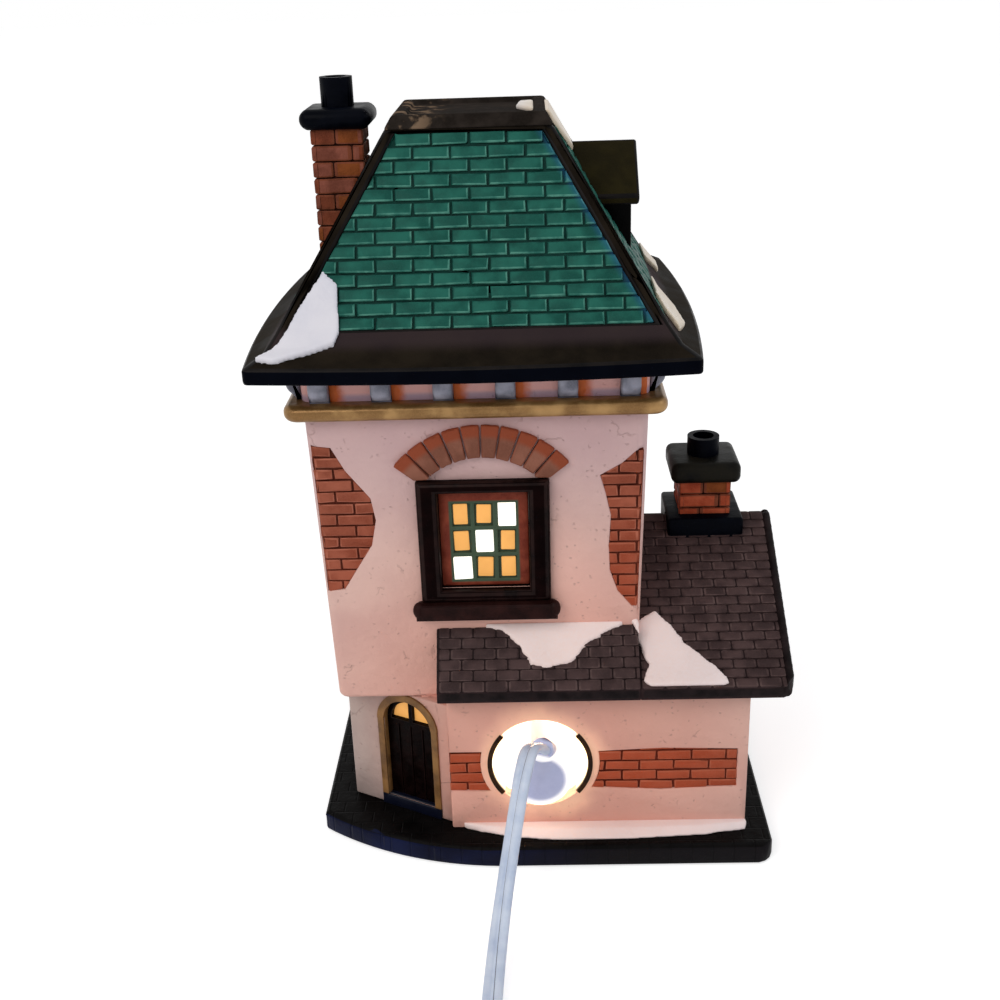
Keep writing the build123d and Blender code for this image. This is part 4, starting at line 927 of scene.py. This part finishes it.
def rim_bar(name, long, thick, place):
    """A long bar with round edges, x along it."""
    bar = block_pattern(name, (long * MM, RIM_WIDE * MM, thick * MM), 1.1 * MM, [annex_rim], -1, 4)
    return lay_copies(name, bar, [place])


def eave_bar(name, start, end, foot, sign):
    """The bar along an eave, given as (y, z), from start to end along X."""
    at = ((start + end) / 2, foot[0] + sign * (RIM_WIDE / 2 - 0.1), foot[1] - EAVE_THICK / 2 + 0.2)
    return rim_bar("eave_rim_" + name, end - start, EAVE_THICK + 0.3, face_frame(at, (1, 0, 0), (0, 1, 0)))


def round_corner(piece, eave_y, sign):
    """Rounds the outer corner of a roof piece."""
    pick_only(piece)
    bpy.ops.object.mode_set(mode="EDIT")
    cut_away(corner_cuts(((VERGE_X + 0.6) * MM + TOWER_X, eave_y * MM), 1, -sign, CORNER_ROUND * MM))
    close_smooth()


slope_long = math.hypot(RIDGE[0] - EAVE[0], RIDGE[1] - EAVE[1])
for name, foot, sign in (("near", EAVE, 1), ("far", far_eave, -1)):
    half = ((foot[0] + RIDGE[0]) / 2, (foot[1] + RIDGE[1]) / 2)
    slope = (0, RIDGE[0] - foot[0], RIDGE[1] - foot[1])
    verge = face_frame((VERGE_X - 0.6, *half), slope, (-sign, 0, 0))
    thick = EAVE_THICK * 0.86 + RIM_PROUD
    verge_rim = rim_bar("verge_rim_" + name, slope_long, thick,
                        verge @ Matrix.Translation((0, 0, (RIM_PROUD - thick / 2) * MM)))
    eave_rim = eave_bar(name, tower_side(foot[1]), VERGE_X + 0.5, foot, sign)
    for piece in (roofs["annex"], verge_rim, eave_rim):
        round_corner(piece, foot[0], sign)
eave_bar("pent", PENT_LEFT_X - 0.5, tower_side(EAVE[1]), EAVE, 1)
print("rims laid, slope", round(slope_long, 1), "mm")

# %% [markdown]
# ## Snow
# Snow is a thick white glaze with soft rims. A bevel would leave its facets visible, so a copy of each node is
# remeshed into small even faces, smoothed, and puffed out a little, as poured slip would settle. A cloud texture
# sways the outline of the snow on the low roofs.

# %% Snow
CREAM_X = (-0.006, 0.006)
snow = glaze("snow_glaze", (208, 208, 220), (226, 224, 232), 0.34, 60, grain=1200, depth=40, shine=0.3)
blend_finish(snow, steps(object_axis(snow, "X"), *CREAM_X), (226, 208, 184))
# The low snow near the lamp blends into painted lamp light.
low_snow = glaze("low_snow_glaze", (228, 220, 224), (246, 237, 240), 0.34, 60, grain=1200, depth=40, shine=0.3,
                 lamp_glow=(254, 222, 210))
lumps = bpy.data.textures.new("snow_lumps", "CLOUDS")
lumps.noise_scale = 9.0 * MM
for node, finish in (("main_roof_snow", snow), ("annex_snow", low_snow)):
    piece = node_copy(node, [finish])
    melt(piece, 0.36 * MM, 7, 0.18 * MM)
    if node == "annex_snow":
        sway = piece.modifiers.new("sway", "DISPLACE")
        sway.texture, sway.texture_coords, sway.direction, sway.strength = lumps, "LOCAL", "X", 5.5 * MM
        bpy.ops.object.modifier_apply(modifier=sway.name)
    settle(piece, node)
    print(node, len(piece.data.polygons), "faces")

# %% [markdown]
# ## Windows and doors
# The casing is black-brown with a shine, the sash inside it red-brown with grey-green bars. Panes of coloured film
# glow from the lamp behind: most are amber, and three are almost white where the lamp shows straight through. They
# lie on a bed in the colour of the bars, which closes the gaps between them.

# %% Windows and doors
casing = glaze("casing_glaze", (6, 1, 1), (18, 5, 5), 0.40, 200, depth=60, shine=0.02)
casing_edge = glaze("casing_edge", (14, 7, 7), (38, 22, 20), 0.34, 200, depth=40, shine=0.06)
bar_dark, bar_light = (48, 62, 50), (72, 88, 70)
bar_paint = glaze("bar_paint", bar_dark, bar_light, 0.44, 240, depth=60)
sill_glaze = glaze("sill_glaze", (26, 11, 10), (46, 24, 22), 0.40, 200, depth=60, shine=0.05)
door_wood = glaze("door_glaze", (4, 1, 1), (18, 7, 6), 0.40, 260, depth=80, shine=0.03)
threshold_blue = (10, 14, 30)


def lit_film(name, colour, strength):
    """A coloured film with light behind it, a little uneven."""
    made, shader, place = start_finish(name)
    uneven = steps(mottle(place, 220.0, 2.0), 0.3, 0.7)
    tone = blend_colours(uneven, colour, tuple(min(1.0, v * 1.25) for v in colour))
    set_inputs(shader, {"Base Color": colour, "Roughness": 0.35, "Specular IOR Level": 0.2, "Emission Color": tone,
                        "Emission Strength": strength})
    return made


amber = lit_film("amber_film", screen(222, 160, 86), 0.52)
bright = lit_film("bright_film", screen(255, 246, 226), 1.0)
WINDOW_X, WINDOW_Z, PANES_DOWN, PANES_IN = 1.0, 97.0, 1.1, 1.8
PANE_PITCH = (6.3, 8.0)
PANE_SIZES = {False: (4.5 * MM, 6.3 * MM, 1.0 * MM), True: (5.6 * MM, 7.2 * MM, 1.0 * MM)}
BARS_HALF = (9.4 * MM, 12.2 * MM)
DOOR_FACING = Vector((-0.46, -0.89, 0))
BRIGHT_PANES = {(1, 1), (0, 0), (-1, -1)}
EAR_SIZE, EAR_IN, EAR_DOWN, EAR_BACK = (1.7 * MM, 1.9 * MM, 2.4 * MM), 0.9 * MM, 1.9 * MM, 1.7 * MM


def sash_finish(side, middle_x, middle_z):
    """Red-brown sash whose glazing bars, inside its border, are grey-green."""
    made = glaze(side + "_sash_glaze", (118, 48, 34), (152, 72, 52), 0.44, 240, depth=60)
    shares = []
    for axis, middle, half in (("X", middle_x, BARS_HALF[0]), ("Z", middle_z, BARS_HALF[1])):
        off = sums("ABSOLUTE", sums("SUBTRACT", object_axis(made, axis), middle), 0.0)
        shares.append(steps(off, half + 0.0003, half - 0.0003))
    blend_finish(made, product(*shares), bar_light)
    return made


def window_panes(side, turned):
    """Nine pillowed panes in the sash of one wall."""
    wall = face_frame((WINDOW_X, -tower_side(WINDOW_Z), WINDOW_Z), (1, 0, 0), (0, -WALL_LEAN, 1))
    if turned:
        axis = Matrix.Translation((TOWER_X, 0, 0))
        wall = axis @ Matrix.Rotation(math.pi, 4, "Z") @ axis.inverted() @ wall
    bed = block_pattern("pane_bed", (2 * BARS_HALF[0] - 0.4 * MM, 2 * BARS_HALF[1] - 0.4 * MM, 0.5 * MM), 0.1 * MM,
                        [bar_paint])
    lay_copies(side + "_pane_bed", bed, [wall @ Matrix.Translation((0, -PANES_DOWN * MM, -(PANES_IN + 0.05) * MM))])
    spots = [(column, row) for row in (-1, 0, 1) for column in (-1, 0, 1)]
    chance = random.Random(21)
    for film, name, wanted in ((amber, "amber", False), (bright, "bright", True)):
        pattern = block_pattern(name + "_pane", PANE_SIZES[wanted], 0.4 * MM, [film], -1, 2)
        places = [wall @ Matrix.Translation((column * PANE_PITCH[0] * MM, (row * PANE_PITCH[1] - PANES_DOWN) * MM,
                                             (0.5 * wanted - PANES_IN) * MM))
                  @ Matrix.Rotation(chance.uniform(-0.05, 0.05), 4, "Z")
                  @ Matrix.Diagonal((chance.uniform(0.86, 1.0), chance.uniform(0.88, 1.0), 1, 1))
                  for column, row in spots if ((column, row) in BRIGHT_PANES) == wanted]
        lay_copies(f"{side}_{name}_panes", pattern, places)
    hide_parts(side + "_window_film")


def paint_reveal(wall, node, finish, facing):
    """Paints the sides of the opening that a frame stands in, in a wall that faces a direction."""
    low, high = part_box(node)
    wall.data.materials.append(finish)
    return repaint(wall, len(wall.data.materials) - 1, lambda at, out: abs(out.dot(facing)) < 0.75
                   and at.y * low[1] > 0 and low[0] < at.x < high[0] and low[2] < at.z < high[2])


def sill_ears(side, sign):
    """Two round ears at the ends of a sill."""
    low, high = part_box(side + "_window_sill")
    bpy.ops.object.select_all(action="DESELECT")
    bpy.ops.mesh.primitive_uv_sphere_add(segments=24, ring_count=12, radius=1.0)
    ball = bpy.context.active_object
    ball.data.materials.append(sill_glaze)
    pattern = ball.data
    bpy.data.objects.remove(ball)
    depth = low[1] + EAR_BACK if sign > 0 else high[1] - EAR_BACK
    places = [Matrix.Translation((x, depth, high[2] - EAR_DOWN)) @ Matrix.Diagonal((*EAR_SIZE, 1))
              for x in (low[0] + EAR_IN, high[0] - EAR_IN)]
    lay_copies(side + "_sill_ears", pattern, places)


for side, sign in (("rear", 1), ("front", -1)):
    soft_copy(side + "_window_frame", [casing, casing_edge], 0.5, 3, 1)
    soft_copy(side + "_window_sill", [sill_glaze], 1.5, 4)
    sash = sash_finish(side, TOWER_X + sign * WINDOW_X * MM, (WINDOW_Z - PANES_DOWN) * MM)
    soft_copy(side + "_window_sash", [sash], 0.3, 2)
    window_panes(side, sign < 0)
    sill_ears(side, sign)
    hidden = paint_reveal(storey, side + "_window_frame", casing, Vector((0, 1, 0)))
    gilt = glaze(side + "_door_gold", (98, 66, 34), (146, 106, 62), 0.40, 150, grain=2600, shine=0.2)
    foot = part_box(side + "_door_leaf")[0][2]
    blend_finish(gilt, steps(object_axis(gilt, "Z"), foot + 0.0004, foot), threshold_blue)
    soft_copy(side + "_door_surround", [gilt], 0.3, 3)
    hidden += paint_reveal(ground, side + "_door_surround", gilt, DOOR_FACING)
    soft_copy(side + "_door_leaf", [door_wood, casing_edge], 0.15, 2, 1)
    keep_node(side + "_door_film", amber)
    print(side, "window and door finished, reveal faces", hidden)

# %% [markdown]
# ## Lamp and holder
# A white socket with two spring clips holds a candle lamp. The clips are pale and glowing inside the wall, painted
# lamp light, and dark brown outside it, painted shade. The socket's rim next to the lamp glows with painted lamp
# light.
# The lit lamp is a glowing glass, and it lights the inside of the house and the edge of the hole. The base is bare
# and pale indoors, which shows through the hole.

# %% Lamp and holder
def glow(finish, share, colour):
    """Lets a finish give off painted light where the share is above 0."""
    set_inputs(shader_of(finish), {"Emission Strength": share, "Emission Color": colour})


SOCKET_GLOW, SOCKET_TOP, LAMP_POWER = (0.0062, 0.0082), (0.0375, 0.0365), 22.0
INDOORS = (("X", TOWER_X - 0.0090, TOWER_X - 0.0085), ("X", TOWER_X + 0.0720, TOWER_X + 0.0715),
           ("Y", -0.0480, -0.0475), ("Y", 0.0375, 0.0370))
socket_plastic = white_plastic.copy()
socket_plastic.name = "socket_plastic"
# Painted lamp light: the socket's rim next to the lamp glows.
rim = steps(away_in_wall(socket_plastic, LAMP_AT), *SOCKET_GLOW)
below = steps(object_axis(socket_plastic, "Z"), *SOCKET_TOP)
glow(socket_plastic, product(product(rim, below), 0.9), (1.0, 0.92, 0.74, 1.0))
soft_copy("socket_body", [socket_plastic], 0.6, 3, body="light_set")
# The clip glaze is dark brown, painted shade outside the wall; inside it turns pale and glows, painted lamp light.
clip_metal = glaze("clip_metal", (24, 13, 7), (58, 36, 18), 0.35, 300, grain=2600, depth=20, shine=0.08)
inner = steps(object_axis(clip_metal, "Y"), HOLE_AT.y - 0.0008, HOLE_AT.y + 0.0012)
blend_finish(clip_metal, inner, (250, 228, 180))
glow(clip_metal, product(inner, 1.1), (1.0, 0.92, 0.72, 1.0))
soft_copy("spring_clips", [clip_metal], 0.15, 2, body="light_set")
indoors = reduce(product, [steps(object_axis(base_glaze, axis), start, end) for axis, start, end in INDOORS])
blend_finish(base_glaze, indoors, (250, 235, 205))
for node in ("socket_screw_shell", "socket_centre_contact", "bulb_base"):
    keep_node(node, brass)
lamp_glass, shader, place = start_finish("lamp_glass")
hot = steps(mottle(place, 90.0, 1.0), 0.2, 0.8)
set_inputs(shader, {"Base Color": screen(255, 236, 200), "Roughness": 0.25, "Emission Strength": LAMP_POWER,
                    "Emission Color": blend_colours(hot, (1.0, 0.70, 0.42, 1), (1.0, 0.80, 0.54, 1))})
keep_node("bulb_glass", lamp_glass)
keep_node("bulb_filament", lamp_glass)
print("lamp ready")

# %% [markdown]
# ## Floor and light
# A pale floor and soft light from the front left, as in a room by a window, with a cool fill from the right that
# shows on the shiny hips.

# %% Floor and light
WHITE = (1.0, 1.0, 1.0, 1.0)


def seen_directly(tree):
    """1 for rays from the camera, from a mirror or through glass, and 0 for rays that only carry light."""
    path = tree.nodes.new("ShaderNodeLightPath").outputs
    seen = sums("MAXIMUM", path["Is Camera Ray"], path["Is Glossy Ray"])
    return sums("MAXIMUM", seen, path["Is Transmission Ray"])


bpy.ops.mesh.primitive_plane_add(size=8.0, location=(0, 1.5, -0.0002))
floor = bpy.context.active_object
floor.name = "studio_floor"
floor_finish, shader, place = start_finish("studio_floor")
floor_tone = blend_colours(mottle(place, 2.0, 2.0), (0.86, 0.86, 0.86, 1), (0.89, 0.89, 0.89, 1))
set_inputs(shader, {"Base Color": floor_tone, "Roughness": 0.9, "Specular IOR Level": 0.1, "Emission Color": WHITE,
                    "Emission Strength": product(seen_directly(floor_finish.node_tree), 0.55)})
floor.data.materials.append(floor_finish)


def soft_light(name, place, aim, size, power, colour):
    """A square soft box that faces a point."""
    bpy.ops.object.light_add(type="AREA", location=place)
    lamp = bpy.context.active_object
    lamp.name = name
    lamp.data.size = size
    lamp.data.energy = power
    lamp.data.color = colour
    lamp.rotation_euler = (Vector(aim) - Vector(place)).to_track_quat("-Z", "Y").to_euler()


soft_light("window_light", (-0.45, -0.65, 0.75), (0, 0, 0.1), size=0.6, power=3.6, colour=(1.0, 0.97, 0.94))
soft_light("cool_fill", (0.85, -0.25, 0.55), (0, 0, 0.12), size=0.5, power=1.2, colour=(0.80, 0.88, 1.0))
world = bpy.data.worlds.new("studio")
bpy.context.scene.world = world
world.use_nodes = True
lit = sums("MULTIPLY_ADD", seen_directly(world.node_tree), 0.5, 0.5)
set_inputs(world.node_tree.nodes["Background"], {"Strength": lit, "Color": WHITE})
bpy.context.scene.view_settings.view_transform = "Standard"
print("lights ready")
